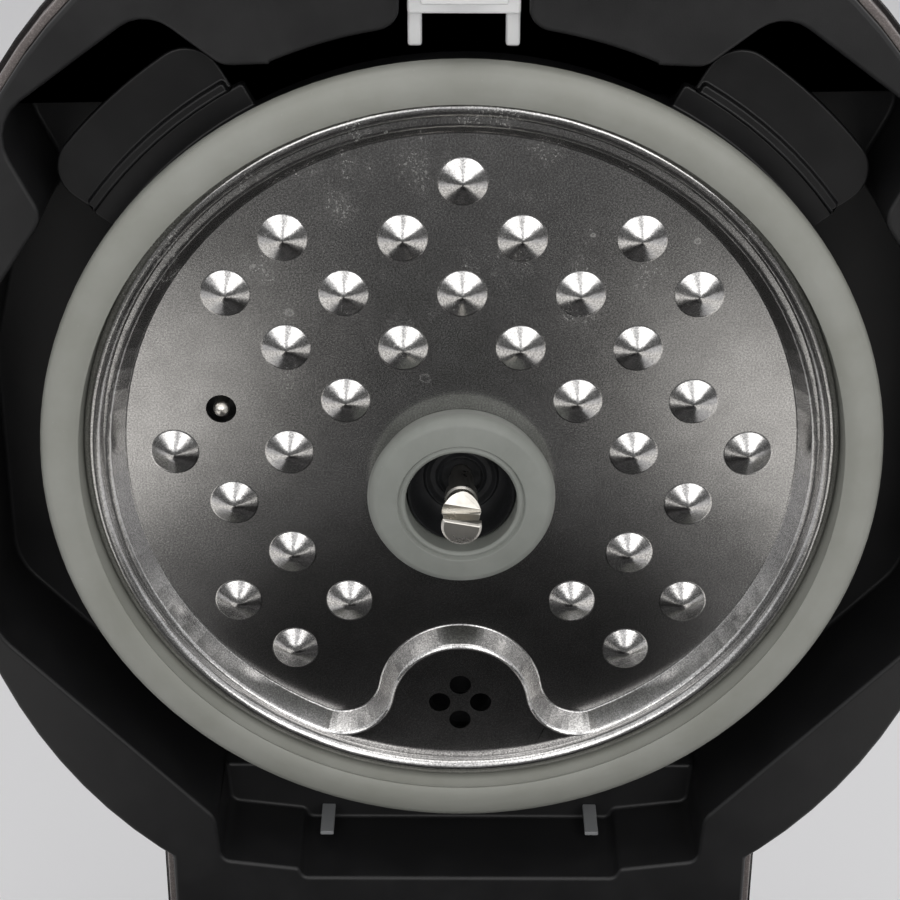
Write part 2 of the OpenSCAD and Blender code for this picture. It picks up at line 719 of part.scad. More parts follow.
module inner_lid_carrier() {
    color("#2a2a2c") place_lid() {
        translate([0, 0, -plate_back + heat_plate_t]) linear_extrude(
            gasket_foot_h + plate_back - heat_plate_t) difference() {
            circle(carrier_r);
            circle(plate_rim_r + 2.6);
        }
        both_sides() {
            // foot of the tab, on the ring
            translate([0, 0, -tab_foot_t]) linear_extrude(tab_foot_t + tab_step)
                round_sector(carrier_r - 1, tab_inner_r - 2.2, tab_angle - tab_half_angle,
                    tab_angle + tab_half_angle + 1.6, 1);
            // tab
            translate([0, 0, tab_face - tab_t]) linear_extrude(tab_t)
                round_sector(tab_inner_r - 3, tab_r, tab_angle - tab_half_angle,
                    tab_angle + tab_half_angle, tab_corner_r);
            // ridge at the tab's inner edge
            translate([0, 0, tab_face - eps]) linear_extrude(tab_step - tab_face)
                round_sector(tab_inner_r - 3, tab_inner_r, tab_angle - tab_half_angle + 0.5,
                    tab_angle + tab_half_angle - 0.5, 0.8);
        }
    }
}

module center_grommet() {
    color("#85898a") place_lid() translate([0, -grommet_back, 0]) rotate_extrude() {
        polygon([[grommet_hole_r, -3], [grommet_hole_r, grommet_h - 1],
            [grommet_hole_r + 0.8, grommet_h - 0.4], [grommet_hole_r + 1.6, grommet_h - 1],
            [grommet_hole_r + 2, grommet_h], [grommet_r - 2.5, grommet_h - 0.6],
            [grommet_r - 0.6, grommet_h - 2], [grommet_r, 1.2], [grommet_r - 0.3, 0],
            [grommet_seat_r, 0], [grommet_seat_r, -sheet_t], [grommet_seat_r + 1.6, -sheet_t],
            [grommet_seat_r + 1.6, -2.4], [grommet_seat_r, -3]]);
    }
}

// ---- pins through the lid ----

boot_base = 14;

module pin_boot() {
    color("#17181a") place_lid() translate([0, -grommet_back, 0]) rotate_extrude() polygon([
        [pin_shaft_r + running, -boot_base], [boot_r - 2, -boot_base],
        [boot_r - 2, -plate_back], [boot_r, -plate_back], [boot_r, -6.5], [boot_r - 1.2, -5],
        [boot_r - 2.4, -6.5], [boot_r - 3.6, -6.5], [boot_r - 4.4, -5.4], [boot_r - 5.2, -6.8],
        [pin_shaft_r + running, -7.6]]);
}

boot_top = -7.4;
pin_base = boot_top + pin_travel + play;
solenoid_floor = 2;

module pressure_pin() {
    neck_r = 3.1;
    shoulder = 8;
    pin_foot = -solenoid_top + solenoid_floor + pin_travel + play;
    color("#c2c0bb") place_lid() translate([0, -grommet_back, 0]) difference() {
        union() {
            translate([0, 0, pin_foot]) cylinder(h = pin_base + 1 - pin_foot, r = pin_shaft_r);
            rotate_extrude() polygon([[0, pin_base], [neck_r, pin_base], [neck_r, 2],
                [neck_r + 0.9, 3.5], [neck_r + 0.9, 6], [pin_r - 0.5, shoulder],
                [pin_r, shoulder + 1], [pin_r, pin_tip - 0.6], [pin_r - 0.6, pin_tip], [0, pin_tip]]);
        }
        // flat cut below the tip
        translate([-pin_r - 1, 0.6, pin_tip - 9]) cube([2 * pin_r + 2, pin_r + 1, 6.4]);
    }
}

solenoid_top = 46;

module solenoid() {
    size = 26;
    color("#5a4a3c") place_lid() translate([0, -grommet_back, 0]) difference() {
        translate([-size / 2, -size / 2, -solenoid_top]) cube([size, size,
            solenoid_top - bowl_floor - liner_wall]);
        translate([0, 0, -solenoid_top + solenoid_floor])
            cylinder(h = solenoid_top, r = pin_shaft_r + running);
    }
}

sensor_tip = 1.6;

module lid_sensor_pin() {
    color("#b9b9b6") place_lid() translate([-sensor_x, sensor_y, 0]) {
        translate([0, 0, -plate_back]) cylinder(h = plate_back + sensor_tip - sensor_pin_r,
            r = sensor_pin_r * 0.7);
        translate([0, 0, sensor_tip - sensor_pin_r]) sphere(r = sensor_pin_r);
    }
}

module lid_sensor_base() {
    color("#202022") place_lid() translate([-sensor_x, sensor_y, 0]) difference() {
        translate([0, 0, -bowl_floor - liner_wall]) cylinder(
            h = bowl_floor + liner_wall - 5, r = sensor_hole_r + 1);
        translate([0, 0, -plate_back - 3]) cylinder(h = 20, r = sensor_pin_r * 0.7 + running);
    }
}

// ---- latch ----

module latch() {
    color("#c4c5c8") place_lid() {
        // cross bar
        translate([-latch_half_w, latch_bar, latch_low])
            cube([2 * latch_half_w, hook_front - latch_bar, latch_t]);
        // legs
        both_sides() translate([latch_half_w - leg_w, latch_back, latch_low])
            cube([leg_w, latch_bar - latch_back + eps, latch_t - 3]);
        // tail that the release button's wedge pushes on
        translate([-wedge_half_w - 1.5, latch_bar, latch_low - wedge_deep])
            cube([2 * (wedge_half_w + 1.5), 4, wedge_deep + eps]);
        // hook
        hook_w = latch_half_w - 3;
        translate([-hook_w, hook_front - hook_t, latch_low])
            cube([2 * hook_w, hook_t, hook_tip - latch_low]);
        translate([0, hook_front - hook_t, 0]) rotate([90, 0, -90]) translate([0, 0, -hook_w])
            linear_extrude(2 * hook_w) polygon([[0, hook_tip - 3.8],
                [hook_reach, hook_tip - 3.8], [hook_reach, hook_tip - 2.6], [0, hook_tip]]);
    }
}

latch_spring_r = 1.9;

module latch_springs() {
    wire = 0.35;
    coils = 5;
    color("#d0d0d0") place_lid() both_sides() translate([slot_half_w - 4.4,
        hook_front, latch_low + latch_t / 2]) rotate([-90, 0, 0])
        coil(latch_spring_r, wire, coils, (slot_end - hook_front - 2 * wire) / coils);
}

module release_button() {
    low = bowl_floor + liner_wall + release_travel + play;
    flange_n = crown_h - 7;
    color("#8f8486") place_lid() {
        translate([0, 0, -release_top]) linear_extrude(release_top - low) release_plan();
        translate([0, 0, -flange_n]) linear_extrude(1.6) release_plan(1.6);
        // stem whose wedge drives the latch
        translate([wedge_half_w, 0, 0]) rotate([90, 0, -90]) linear_extrude(2 * wedge_half_w)
            polygon([[-wedge_front - latch_travel, -low - eps], [-wedge_back, -low - eps],
                [-wedge_back, -wedge_deep - play], [-wedge_front, -wedge_deep - play],
                [-wedge_front - latch_travel, -wedge_deep - play - release_travel]]);
    }
}

// ---- steam way ----

module steam_pipe() {
    color("#2c2c2e") place_lid() translate([0, -island_back, 0]) difference() {
        translate([0, 0, -crown_h + cap_seat_h]) union() {
            cylinder(h = crown_h - cap_seat_h - 3, r = pipe_bore_r + pipe_wall);
            translate([0, 0, crown_h - cap_seat_h - 3]) cylinder(h = 1, r = pipe_bore_r + pipe_wall);
        }
        translate([0, 0, -crown_h]) cylinder(h = crown_h + 10, r = pipe_bore_r);
    }
}

module steam_cap() {
    vent_w = 2.4;
    color("#1f1e20") place_lid() translate([0, -island_back, -crown_h + cap_seat_h - play]) {
        difference() {
            rotate([180, 0, 0]) rotate_extrude() polygon([[0, 0], [cap_r - 1.5, 0], [cap_r, 1.5],
                [cap_r, cap_h - 4], [cap_r - 1.4, cap_h - 1.4], [cap_r - 5, cap_h - 0.3],
                [cap_r - 9, cap_h], [0, cap_h]]);
            translate([0, 0, -cap_h + 3]) cylinder(h = cap_h, r = cap_r - 5);
            for (i = [-2:2]) translate([i * 6 - vent_w / 2, -cap_r * 0.45, -cap_h - 1])
                cube([vent_w, cap_r * 0.9, 8]);
        }
        // skirt that plugs the pipe
        translate([0, 0, -cap_h + 2]) difference() {
            cylinder(h = cap_h + 2, r = pipe_bore_r - play);
            translate([0, 0, -1]) cylinder(h = cap_h + 6, r = pipe_bore_r - play - 1.4);
        }
    }
}

// ---- hinge ----

module hinge_pin() {
    reach = tongue_half_w - 3;
    color("#b0b0b0") translate([-reach, hinge_back, hinge_z]) rotate([0, 90, 0])
        cylinder(h = 2 * reach, r = hinge_pin_r);
}

// Its legs lie against the front wall of the hinge recess
module hinge_spring() {
    pitch = 2 * hinge_wire_r + 0.5;
    color("#8c8c8c") translate([-pitch * hinge_coils / 2, hinge_back, hinge_z]) rotate([0, 90, 0])
        coil(hinge_pin_r + hinge_wire_r, hinge_wire_r, hinge_coils + 0.5, pitch, hinge_back - hinge_front);
}

// ---- pot and body ----

// Right half of a cup's section, open at the top
module cup_half(r, z0, z1, rc) {
    translate([0, z0 + rc]) square([r, z1 - z0 - rc]);
    translate([0, z0]) square([r - rc, rc + eps]);
    intersection() {
        translate([r - rc, z0 + rc]) circle(rc);
        translate([0, z0]) square([r, rc + eps]);
    }
}

module inner_pot() {
    color("#5c5b5c") rotate_extrude($fn = 180) {
        difference() {
            cup_half(pot_r + pot_wall, pot_floor, pot_top, pot_corner_r + pot_wall);
            cup_half(pot_r, pot_floor + pot_wall, pot_top + 1, pot_corner_r);
        }
        translate([pot_r + pot_wall - eps, pot_top - pot_flange_t])
            square([pot_flange_r - pot_r - pot_wall, pot_flange_t]);
    }
}

module hinge_recess(grow = 0) {
    translate([-neck_half_w - play - grow, hinge_front - grow, hinge_floor - grow])
        cube([2 * (neck_half_w + play + grow), tongue_back, body_h]);
}

keeper_y = 120;
keeper_z = plate_z - hook_tip + 3.8 + 0.5;
keeper_t = 2;
catch_front = hook_front + latch_travel + 3;

hinge_floor_t = 6;
post_x = half_width - 50;
post_y = 88;
post_r = 5;
screw_r = 1.6;
screw_len = 12;

module at_posts() {
    for (x = [-post_x, post_x], y = [-post_y, post_y]) translate([x, y, pan_floor]) children();
}

module top_frame() {
    color("#262628") difference() {
        union() {
            translate([0, 0, body_h - frame_h]) linear_extrude(frame_h) body_plan();
            // hinge housing below the frame
            translate([0, 0, hinge_floor - hinge_floor_t])
                linear_extrude(body_h - frame_h - hinge_floor + hinge_floor_t + eps)
                    intersection() {
                        body_plan(shell_wall);
                        translate([-tongue_half_w, hinge_front - 4]) square([2 * tongue_half_w, tongue_back]);
                    }
            // posts that the pan is screwed to
            at_posts() cylinder(h = body_h - frame_h - pan_floor + eps, r = post_r);
        }
        translate([0, 0, pot_top - pot_flange_t]) cylinder(h = 20, r = recess_r, $fn = 180);
        translate([0, 0, pan_floor - 1]) cylinder(h = body_h, r = case_r + case_wall, $fn = 180);
        hinge_recess();
        // catch opening for the hook
        translate([-slot_half_w, -catch_front, body_h - frame_h - 1])
            cube([2 * slot_half_w, catch_front - keeper_y, frame_h + 2]);
        translate([-slot_half_w, -keeper_y - eps, body_h - frame_h - 1])
            cube([2 * slot_half_w, keeper_y - recess_r - 3, keeper_z + keeper_t - body_h + frame_h + 1]);
        // bores for the hinge pin
        translate([-tongue_half_w + 3, hinge_back, hinge_z]) rotate([0, 90, 0])
            cylinder(h = 2 * tongue_half_w - 6, r = hinge_pin_r);
        at_posts() translate([0, 0, -1]) cylinder(h = screw_len, r = screw_r);
    }
}

module latch_keeper() {
    color("#b4b4b6") translate([-slot_half_w, -keeper_y, keeper_z])
        cube([2 * slot_half_w, keeper_y - recess_r - 3, keeper_t]);
}

// Insets of the body at rising heights above the pan, and those heights
shell_steps = [[0, 9], [6, 5], [16, 2], [30, 0.5], [44, 0]];
shell_low = foot_h + pan_h;
shell_top = body_h - frame_h;

module shell_form(wall) {
    for (part = [0, 1]) hull() for (s = shell_steps)
        translate([0, 0, shell_low + s[0] - (wall > 0 ? eps : 0)]) linear_extrude(eps)
            if (part == 0) translate([0, -oval_shift]) oval(s[1] + wall);
            else round_end(tongue_half_w - s[1] - wall, half_length / 2,
                tongue_back - s[1] - wall, tongue_corner_r);
    translate([0, 0, shell_low + shell_steps[4][0]])
        linear_extrude(shell_top - shell_low - shell_steps[4][0] + (wall > 0 ? eps : 0))
            body_plan(wall);
}

inlet_z = 46;

module outer_shell() {
    color("#1e1d1f") difference() {
        shell_form(0);
        shell_form(shell_wall);
        // opening behind the control panel
        translate([-panel_half_w + 4, -half_length - 10, panel_bottom + 4])
            cube([2 * panel_half_w - 8, 60, panel_h - 8]);
        // power inlet
        translate([-inlet_half_w, tongue_back - 20, inlet_z]) cube([2 * inlet_half_w, 40, inlet_h]);
        // warm air slots in the back
        for (i = [0:7]) translate([34 + i * 5, tongue_back - 20, 40]) cube([2.6, 40, 46]);
        hinge_recess();
    }
}

// Distances of the feet from the screws beside them and from the back
foot_in = 14;
foot_out = 8;
foot_back = 22;

module feet() {
    color("#3a3a3a") both_sides() for (y = [-post_y - foot_out, tongue_back - foot_back])
        translate([post_x - foot_in, y, 0]) cylinder(h = foot_h, r1 = foot_r - 1.5, r2 = foot_r);
}

fan_x = 46;
fan_y = 124;
probe_neck_r = 6;
probe_head_h = 5;
probe_seat_z = 34;

module bottom_pan() {
    color("#2b2b2d") difference() {
        union() {
            difference() {
                translate([0, 0, foot_h]) linear_extrude(pan_h) body_plan(shell_steps[0][1]);
                translate([0, 0, pan_floor]) linear_extrude(pan_h)
                    body_plan(shell_steps[0][1] + pan_t);
            }
            // guide of the bottom sensor
            translate([0, 0, pan_floor - eps])
                cylinder(h = probe_seat_z - pan_floor + eps, r = probe_neck_r + 3);
        }
        translate([0, 0, pan_floor + 4]) cylinder(h = probe_seat_z, r = probe_neck_r + running);
        at_posts() translate([0, 0, -pan_t - 1]) cylinder(h = pan_t + 2, r = screw_r);
        // air slots under the fan
        for (i = [-4:4]) translate([fan_x - 1.5 + i * 5, fan_y - fan_r * 0.8, foot_h - 1])
            cube([3, fan_r * 1.1, pan_t + 2]);
    }
}

ledge_top = pot_top - pot_flange_t;

module inner_case() {
    color("#3c3c3e") rotate_extrude($fn = 180) difference() {
        cup_half(case_r + case_wall, case_floor - case_wall, ledge_top - 4,
            pot_corner_r + pot_wall + pot_gap + case_wall);
        cup_half(case_r, case_floor, ledge_top, pot_corner_r + pot_wall + pot_gap);
        translate([-1, 0]) square([probe_r + play + 1, body_h]);
    }
}

module heating_coil() {
    z = case_floor - case_wall - coil_wire_r;
    bend_r = pot_corner_r + pot_wall + pot_gap + case_wall + coil_wire_r;
    bend_x = case_r + case_wall - bend_r + coil_wire_r;
    color("#b06a3a") {
        for (i = [0:coil_turns - 1]) turn(coil_inner_r + coil_pitch * i, z);
        for (a = [38:6:62]) turn(bend_x + bend_r * sin(a), z + bend_r * (1 - cos(a)));
    }
    module turn(r, h) {
        translate([0, 0, h]) rotate_extrude() translate([r, 0]) circle(r = coil_wire_r, $fn = 16);
    }
}

coil_pitch = 2 * coil_wire_r + 0.3;
carrier_top = case_floor - case_wall - 2 * coil_wire_r;
carrier_t = 3;

module coil_carrier() {
    out = coil_inner_r + coil_pitch * coil_turns;
    color("#d8d2c4") difference() {
        union() {
            translate([0, 0, carrier_top - carrier_t]) cylinder(h = carrier_t, r = out);
            for (a = [45:90:315]) rotate([0, 0, a]) translate([out - 8, 0, pan_floor])
                cylinder(h = carrier_top - carrier_t - pan_floor + eps, r = 5);
        }
        translate([0, 0, carrier_top - carrier_t - 1]) cylinder(h = carrier_t + 2, r = probe_r + play);
    }
}

module ferrite_bars() {
    bar = [28, 10, 5];
    color("#4a4a4c") for (a = [0:60:300]) rotate([0, 0, a])
        translate([coil_inner_r, -bar[1] / 2, carrier_top - carrier_t - bar[2]]) cube(bar);
}

probe_top = pot_floor - play;

module bottom_probe() {
    neck_end = probe_seat_z - 10;
    color("#b8b8b8") {
        translate([0, 0, probe_top - probe_head_h]) cylinder(h = probe_head_h, r = probe_r - play);
        translate([0, 0, neck_end]) cylinder(h = probe_top - 1 - neck_end, r = probe_neck_r);
    }
}

module probe_spring() {
    wire = 0.8;
    coils = 5;
    length = probe_top - probe_head_h - probe_seat_z;
    color("#a0a0a0") translate([0, 0, probe_seat_z])
        coil(probe_neck_r + play + wire, wire, coils, (length - 2 * wire) / coils);
}

// ---- controls ----

module panel_zone(half_w, z0, h) {
    translate([-half_w, -half_length - 20, z0]) cube([2 * half_w, 80, h]);
}

module panel_band(out, back) {
    difference() {
        translate([0, -oval_shift]) oval(-out);
        translate([0, -oval_shift]) oval(back);
    }
}

display_z = panel_bottom + panel_h - display_h - 9;
panel_proud = 0.8;

// Control board behind the panel, on four posts of it
board_y = half_length - oval_shift - 12;
board_half_w = 52;
board_margin = 6;

// Places of the six buttons
button_x = 22;
button_row_low = panel_bottom + 12;
button_row_high = panel_bottom + 29;

module at_button(column, row) {
    translate([column * button_x, 0, row == 0 ? button_row_low : button_row_high]) children();
}

module button_bore(grow) {
    translate([0, -half_length / 2, 0]) rotate([90, 0, 0])
        cylinder(h = half_length / 2 + 20, r = button_r + grow);
}

module control_panel() {
    color("#141416") difference() {
        union() {
            intersection() {
                linear_extrude(body_h) panel_band(panel_proud, shell_wall);
                panel_zone(panel_half_w, panel_bottom, panel_h);
            }
            for (x = [-1, 1], z = [panel_bottom + board_margin + 4, panel_bottom + panel_h - board_margin - 4])
                translate([x * (board_half_w - 4), -board_y, z]) rotate([90, 0, 0])
                    cylinder(h = half_length + oval_shift - front_sag(board_half_w - 4) - shell_wall / 2 - board_y,
                        r = 2.5);
        }
        intersection() {
            linear_extrude(body_h) difference() {
                oval(-20);
                translate([0, -oval_shift]) oval(0);
            }
            panel_zone(display_half_w, display_z, display_h);
        }
        for (c = [-1, 0, 1], r = [0, 1]) at_button(c, r) button_bore(play);
        // step so that the edge laps the shell
        difference() {
            translate([0, 0, panel_bottom - 1]) linear_extrude(panel_h + 2) translate([0, -oval_shift])
                oval(0);
            panel_zone(panel_half_w - 4, panel_bottom + 4, panel_h - 8);
        }
    }
}

module display_window() {
    color("#6f7a70") intersection() {
        linear_extrude(body_h) panel_band(0.7, 0);
        panel_zone(display_half_w, display_z, display_h);
    }
}

module control_board() {
    color("#2f6b3a") translate([-board_half_w, -board_y, panel_bottom + board_margin])
        cube([2 * board_half_w, 1.6, panel_h - 2 * board_margin]);
}

// Round button through the panel, with a collar behind it and a stem to the board
module push_button(column, row) {
    face_y = half_length + oval_shift + panel_proud + button_proud - front_sag(column * button_x);
    collar_y = half_length + oval_shift - shell_wall - play
        - front_sag(abs(column) * button_x + button_r + 1.5);
    stem_y = board_y + button_travel + play;
    at_button(column, row) rotate([90, 0, 0]) {
        translate([0, 0, stem_y]) cylinder(h = face_y - stem_y, r = 3);
        translate([0, 0, collar_y - 1.2]) cylinder(h = face_y - collar_y + 1.2, r = button_r);
        translate([0, 0, collar_y - 1.2]) cylinder(h = 1.2, r = button_r + 1.5);
    }
}

module menu_button() color("#3a3a3c") push_button(-1, 1);
module timer_button() color("#3a3a3c") push_button(0, 1);
module hour_button() color("#3a3a3c") push_button(1, 1);
module cancel_button() color("#55504a") push_button(-1, 0);
module minute_button() color("#3a3a3c") push_button(0, 0);
module start_button() color("#7a4a30") push_button(1, 0);

// ---- electrics ----

board_t = 1.6;
// Power board: left edge, width and height, and the heat sink on it
power_x = -70;
power_y = case_r + case_wall + 22.8;
power_w = 72;
power_h = 62;
sink_w = 50;
sink_h = 40;
sink_fin = 13;
sink_fins = 8;

module power_board() {
    color("#2f6b3a") translate([power_x, power_y, pan_floor]) cube([power_w, board_t, power_h]);
}

module heat_sink() {
    base_t = 3;
    fin_t = 2;
    color("#a8a8aa") translate([power_x + 10, power_y + board_t, pan_floor + 12]) {
        cube([sink_w, base_t, sink_h]);
        for (i = [0:sink_fins - 1]) translate([i * (sink_w - fin_t) / (sink_fins - 1), base_t - eps, 0])
            cube([fin_t, sink_fin, sink_h]);
    }
}

fan_z = pan_floor;

module fan_frame() {
    color("#202022") translate([fan_x, fan_y, fan_z]) difference() {
        union() {
            difference() {
                translate([-fan_r - 2.5, -fan_r - 2.5, 0]) cube([2 * fan_r + 5, 2 * fan_r + 5, fan_h]);
                translate([0, 0, -1]) cylinder(h = fan_h + 2, r = fan_r + 1);
            }
            cylinder(h = 2.4, r = 12);
            for (a = [0:90:270]) rotate([0, 0, a + 45]) translate([0, -2, 0]) cube([fan_r + 3, 4, 2.4]);
            cylinder(h = 8, r = 1.5);
        }
    }
}

module fan_rotor() {
    color("#303032") translate([fan_x, fan_y, fan_z + 2.4 + play]) difference() {
        union() {
            cylinder(h = fan_h - 4, r = 11);
            for (i = [0:fan_blades - 1]) rotate([0, 0, i * 360 / fan_blades])
                translate([9, 0, (fan_h - 4) / 2]) rotate([38, 0, 0])
                    translate([0, -7, -0.7]) cube([fan_r - 9 - 1.5, 14, 1.4]);
        }
        translate([0, 0, -1]) cylinder(h = 8, r = 1.5 + running);
        translate([0, 0, -20]) cylinder(h = 20, r = 60);
        translate([0, 0, fan_h - 4]) cylinder(h = 20, r = 60);
    }
}

pin_len = 14;

module at_pins() {
    for (x = [-5, 5]) translate([x, tongue_back - inlet_depth - 6, inlet_z + inlet_h / 2])
        rotate([-90, 0, 0]) children();
}

module power_inlet() {
    color("#2a2a2c") difference() {
        translate([-inlet_half_w, tongue_back - inlet_depth - 2, inlet_z])
            cube([2 * inlet_half_w, inlet_depth + 2, inlet_h]);
        translate([-inlet_half_w + 2, tongue_back - inlet_depth, inlet_z + 2])
            cube([2 * inlet_half_w - 4, inlet_depth + 2, inlet_h - 4]);
        at_pins() cylinder(h = pin_len, r = inlet_pin_r);
    }
}

module inlet_pins() {
    color("#c8b878") at_pins() cylinder(h = pin_len, r = inlet_pin_r);
}

module screws() {
    head_h = 1.4;
    color("#909090") at_posts() translate([0, 0, -pan_t]) {
        translate([0, 0, -head_h]) cylinder(h = head_h, r = 3.6);
        translate([0, 0, -head_h]) cylinder(h = head_h + screw_len - 2, r = screw_r);
    }
}

lid_cover();
lid_trim();
lid_liner();
heat_plate();
inner_lid_clips();
inner_lid_plate();
gasket();
inner_lid_carrier();
center_grommet();
pin_boot();
pressure_pin();
solenoid();
lid_sensor_pin();
lid_sensor_base();
latch();
latch_springs();
release_button();
steam_pipe();
steam_cap();
hinge_pin();
hinge_spring();
inner_pot();
top_frame();
latch_keeper();
outer_shell();
bottom_pan();
feet();
inner_case();
heating_coil();
coil_carrier();
ferrite_bars();
bottom_probe();
probe_spring();
control_panel();
display_window();
control_board();
menu_button();
timer_button();
hour_button();
minute_button();
cancel_button();
start_button();
power_board();
heat_sink();
fan_frame();
fan_rotor();
power_inlet();
inlet_pins();
screws();
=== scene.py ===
import json
import math
import bpy
import bmesh
from mathutils import Matrix, Vector


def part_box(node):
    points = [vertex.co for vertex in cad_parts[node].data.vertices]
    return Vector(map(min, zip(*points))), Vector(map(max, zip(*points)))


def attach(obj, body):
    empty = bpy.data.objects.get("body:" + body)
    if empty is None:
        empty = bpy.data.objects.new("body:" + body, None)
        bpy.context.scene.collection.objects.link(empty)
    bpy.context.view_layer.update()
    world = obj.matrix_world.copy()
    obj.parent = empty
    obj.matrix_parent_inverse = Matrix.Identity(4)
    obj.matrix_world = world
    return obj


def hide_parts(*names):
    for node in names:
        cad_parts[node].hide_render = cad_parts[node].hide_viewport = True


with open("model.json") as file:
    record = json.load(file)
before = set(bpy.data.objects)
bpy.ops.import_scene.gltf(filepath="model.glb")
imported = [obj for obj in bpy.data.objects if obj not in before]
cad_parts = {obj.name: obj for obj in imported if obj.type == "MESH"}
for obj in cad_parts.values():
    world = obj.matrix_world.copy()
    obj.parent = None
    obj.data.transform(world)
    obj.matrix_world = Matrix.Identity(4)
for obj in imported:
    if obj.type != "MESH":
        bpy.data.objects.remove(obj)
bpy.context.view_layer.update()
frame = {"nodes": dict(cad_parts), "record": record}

scene = bpy.context.scene
mm = 0.001


# small helpers

def linearColour(hexCode, alpha=1.0):
    channels = []
    for start in (0, 2, 4):
        value = int(hexCode[start:start + 2], 16) / 255
        channels.append(value / 12.92 if value <= 0.04045 else ((value + 0.055) / 1.055) ** 2.4)
    return (*channels, alpha)


def addNode(tree, kind, values=None, links=None, out=0, **settings):
    node = tree.nodes.new("ShaderNode" + kind)
    for name, value in settings.items():
        setattr(node, name, value)
    for name, value in (values or {}).items():
        node.inputs[name].default_value = value
    for name, source in (links or {}).items():
        tree.links.new(source, node.inputs[name])
    return node.outputs[out] if len(node.outputs) else node


def newMaterial(name):
    material = bpy.data.materials.new(name)
    material.use_nodes = True
    tree = material.node_tree
    tree.nodes.clear()
    return material, tree, addNode(tree, "TexCoord", out="Object")


def closeMaterial(tree, values, links):
    surface = addNode(tree, "BsdfPrincipled", values, links)
    addNode(tree, "OutputMaterial", links={"Surface": surface})


def perMm(size):
    # pattern scale at which one feature is about that many millimetres across
    return 1 / (size * mm)


def selectOnly(piece):
    bpy.ops.object.select_all(action="DESELECT")
    piece.select_set(True)
    bpy.context.view_layer.objects.active = piece


def applyModifier(piece, kind, **settings):
    modifier = piece.modifiers.new(kind.lower(), kind)
    for name, value in settings.items():
        setattr(modifier, name, value)
    bpy.ops.object.modifier_apply(modifier=modifier.name)


def applyPlace(piece):
    selectOnly(piece)
    bpy.ops.object.transform_apply(location=True, rotation=True, scale=True)


def thinBlock(x, y, z, wide, deep, high, edge=0.0):
    bpy.ops.mesh.primitive_cube_add(size=1, location=(x * mm, y * mm, z * mm))
    block = bpy.context.object
    block.scale = (wide * mm, deep * mm, high * mm)
    applyPlace(block)
    if edge:
        applyModifier(block, "BEVEL", width=edge * mm, segments=2, limit_method="ANGLE")
    return block


# camera, lights, floor

cameraSet = {"place": (-2.79, -327.09, 557.09), "down": 26.87, "roll": 0.176, "lens": 90.92,
             "sensor": 36, "clip": (0.01, 50)}


def makeCamera():
    down, roll = math.radians(cameraSet["down"]), math.radians(cameraSet["roll"])
    right = Vector((1, 0, 0))
    up = Vector((0, math.sin(down), math.cos(down)))
    right, up = (right * math.cos(roll) + up * math.sin(roll),
                 up * math.cos(roll) - right * math.sin(roll))
    turn = Matrix((right, up, right.cross(up))).transposed()
    data = bpy.data.cameras.new("viewCamera")
    data.lens = cameraSet["lens"]
    data.sensor_width = cameraSet["sensor"]
    camera = bpy.data.objects.new("viewCamera", data)
    camera.matrix_world = Matrix.Translation(Vector(cameraSet["place"]) * mm) @ turn.to_4x4()
    data.clip_start, data.clip_end = cameraSet["clip"]
    scene.collection.objects.link(camera)
    scene.camera = camera


studio = {
    "aim": (0, 168, 307),
    # azimuth from the front (right is positive), height angle, distance, width, height, radiance
    "softboxes": {
        "softboxRight": (24, 25, 1600, 860, 1100, 2.5),
        "softboxLeft": (-21, 25, 1600, 720, 1000, 2.1),
        "topLight": (0, 82, 2100, 2200, 1800, 1.34),
    },
    "lampColour": (1.0, 0.985, 0.965),
    "worldColour": (1, 1, 1.01, 1), "worldSeen": 0.86, "worldFill": 0.42,
    "floorColour": "f6f6f8", "floorShade": "f1f1f3",
    # what only polished surfaces see, painted reflections from glowing cards: a lit table beside
    # the body, and the darker room past it
    "tableWide": 0.5, "bodyWide": 0.12, "tableFront": -0.5, "sideFront": -0.62, "tableGlow": 1.12,
    "roomFar": -1.0, "roomGlow": (0.03, 0.14), "roomDeep": 2, "bodyFront": -0.15,
    "cardHeights": (0.002, 0.003), "wallRadius": 2.3, "wallHigh": 0.5, "wallSides": 48,
    "wallFrom": -0.9, "wallMiddle": 0.168, "floorSize": 16,
}


def makeSoftbox(name, azimuth, height, distance, width, tall, radiance):
    a, e = math.radians(azimuth), math.radians(height)
    aim = Vector(studio["aim"]) * mm
    back = Vector((math.sin(a) * math.cos(e), -math.cos(a) * math.cos(e), math.sin(e)))
    data = bpy.data.lights.new(name, "AREA")
    data.shape = "RECTANGLE"
    data.size, data.size_y = width * mm, tall * mm
    data.color = studio["lampColour"]
    data.energy = radiance * math.pi * width * mm * tall * mm
    lamp = bpy.data.objects.new(name, data)
    lamp.location = aim + back * distance * mm
    lamp.rotation_euler = back.to_track_quat("Z", "Y").to_euler()
    lamp.visible_camera = False
    scene.collection.objects.link(lamp)


def makeWorld():
    world = bpy.data.worlds.new("studioWorld")
    world.use_nodes = True
    tree = world.node_tree
    seen = addNode(tree, "LightPath", out="Is Camera Ray")
    for ray in ("Is Glossy Ray", "Is Transmission Ray"):
        seen = addNode(tree, "Math", links={0: seen, 1: addNode(tree, "LightPath", out=ray)},
                       operation="MAXIMUM")
    strength = addNode(tree, "MapRange", {3: studio["worldFill"], 4: studio["worldSeen"]},
                       {0: seen})
    background = tree.nodes["Background"]
    background.inputs["Color"].default_value = studio["worldColour"]
    tree.links.new(strength, background.inputs["Strength"])
    scene.world = world


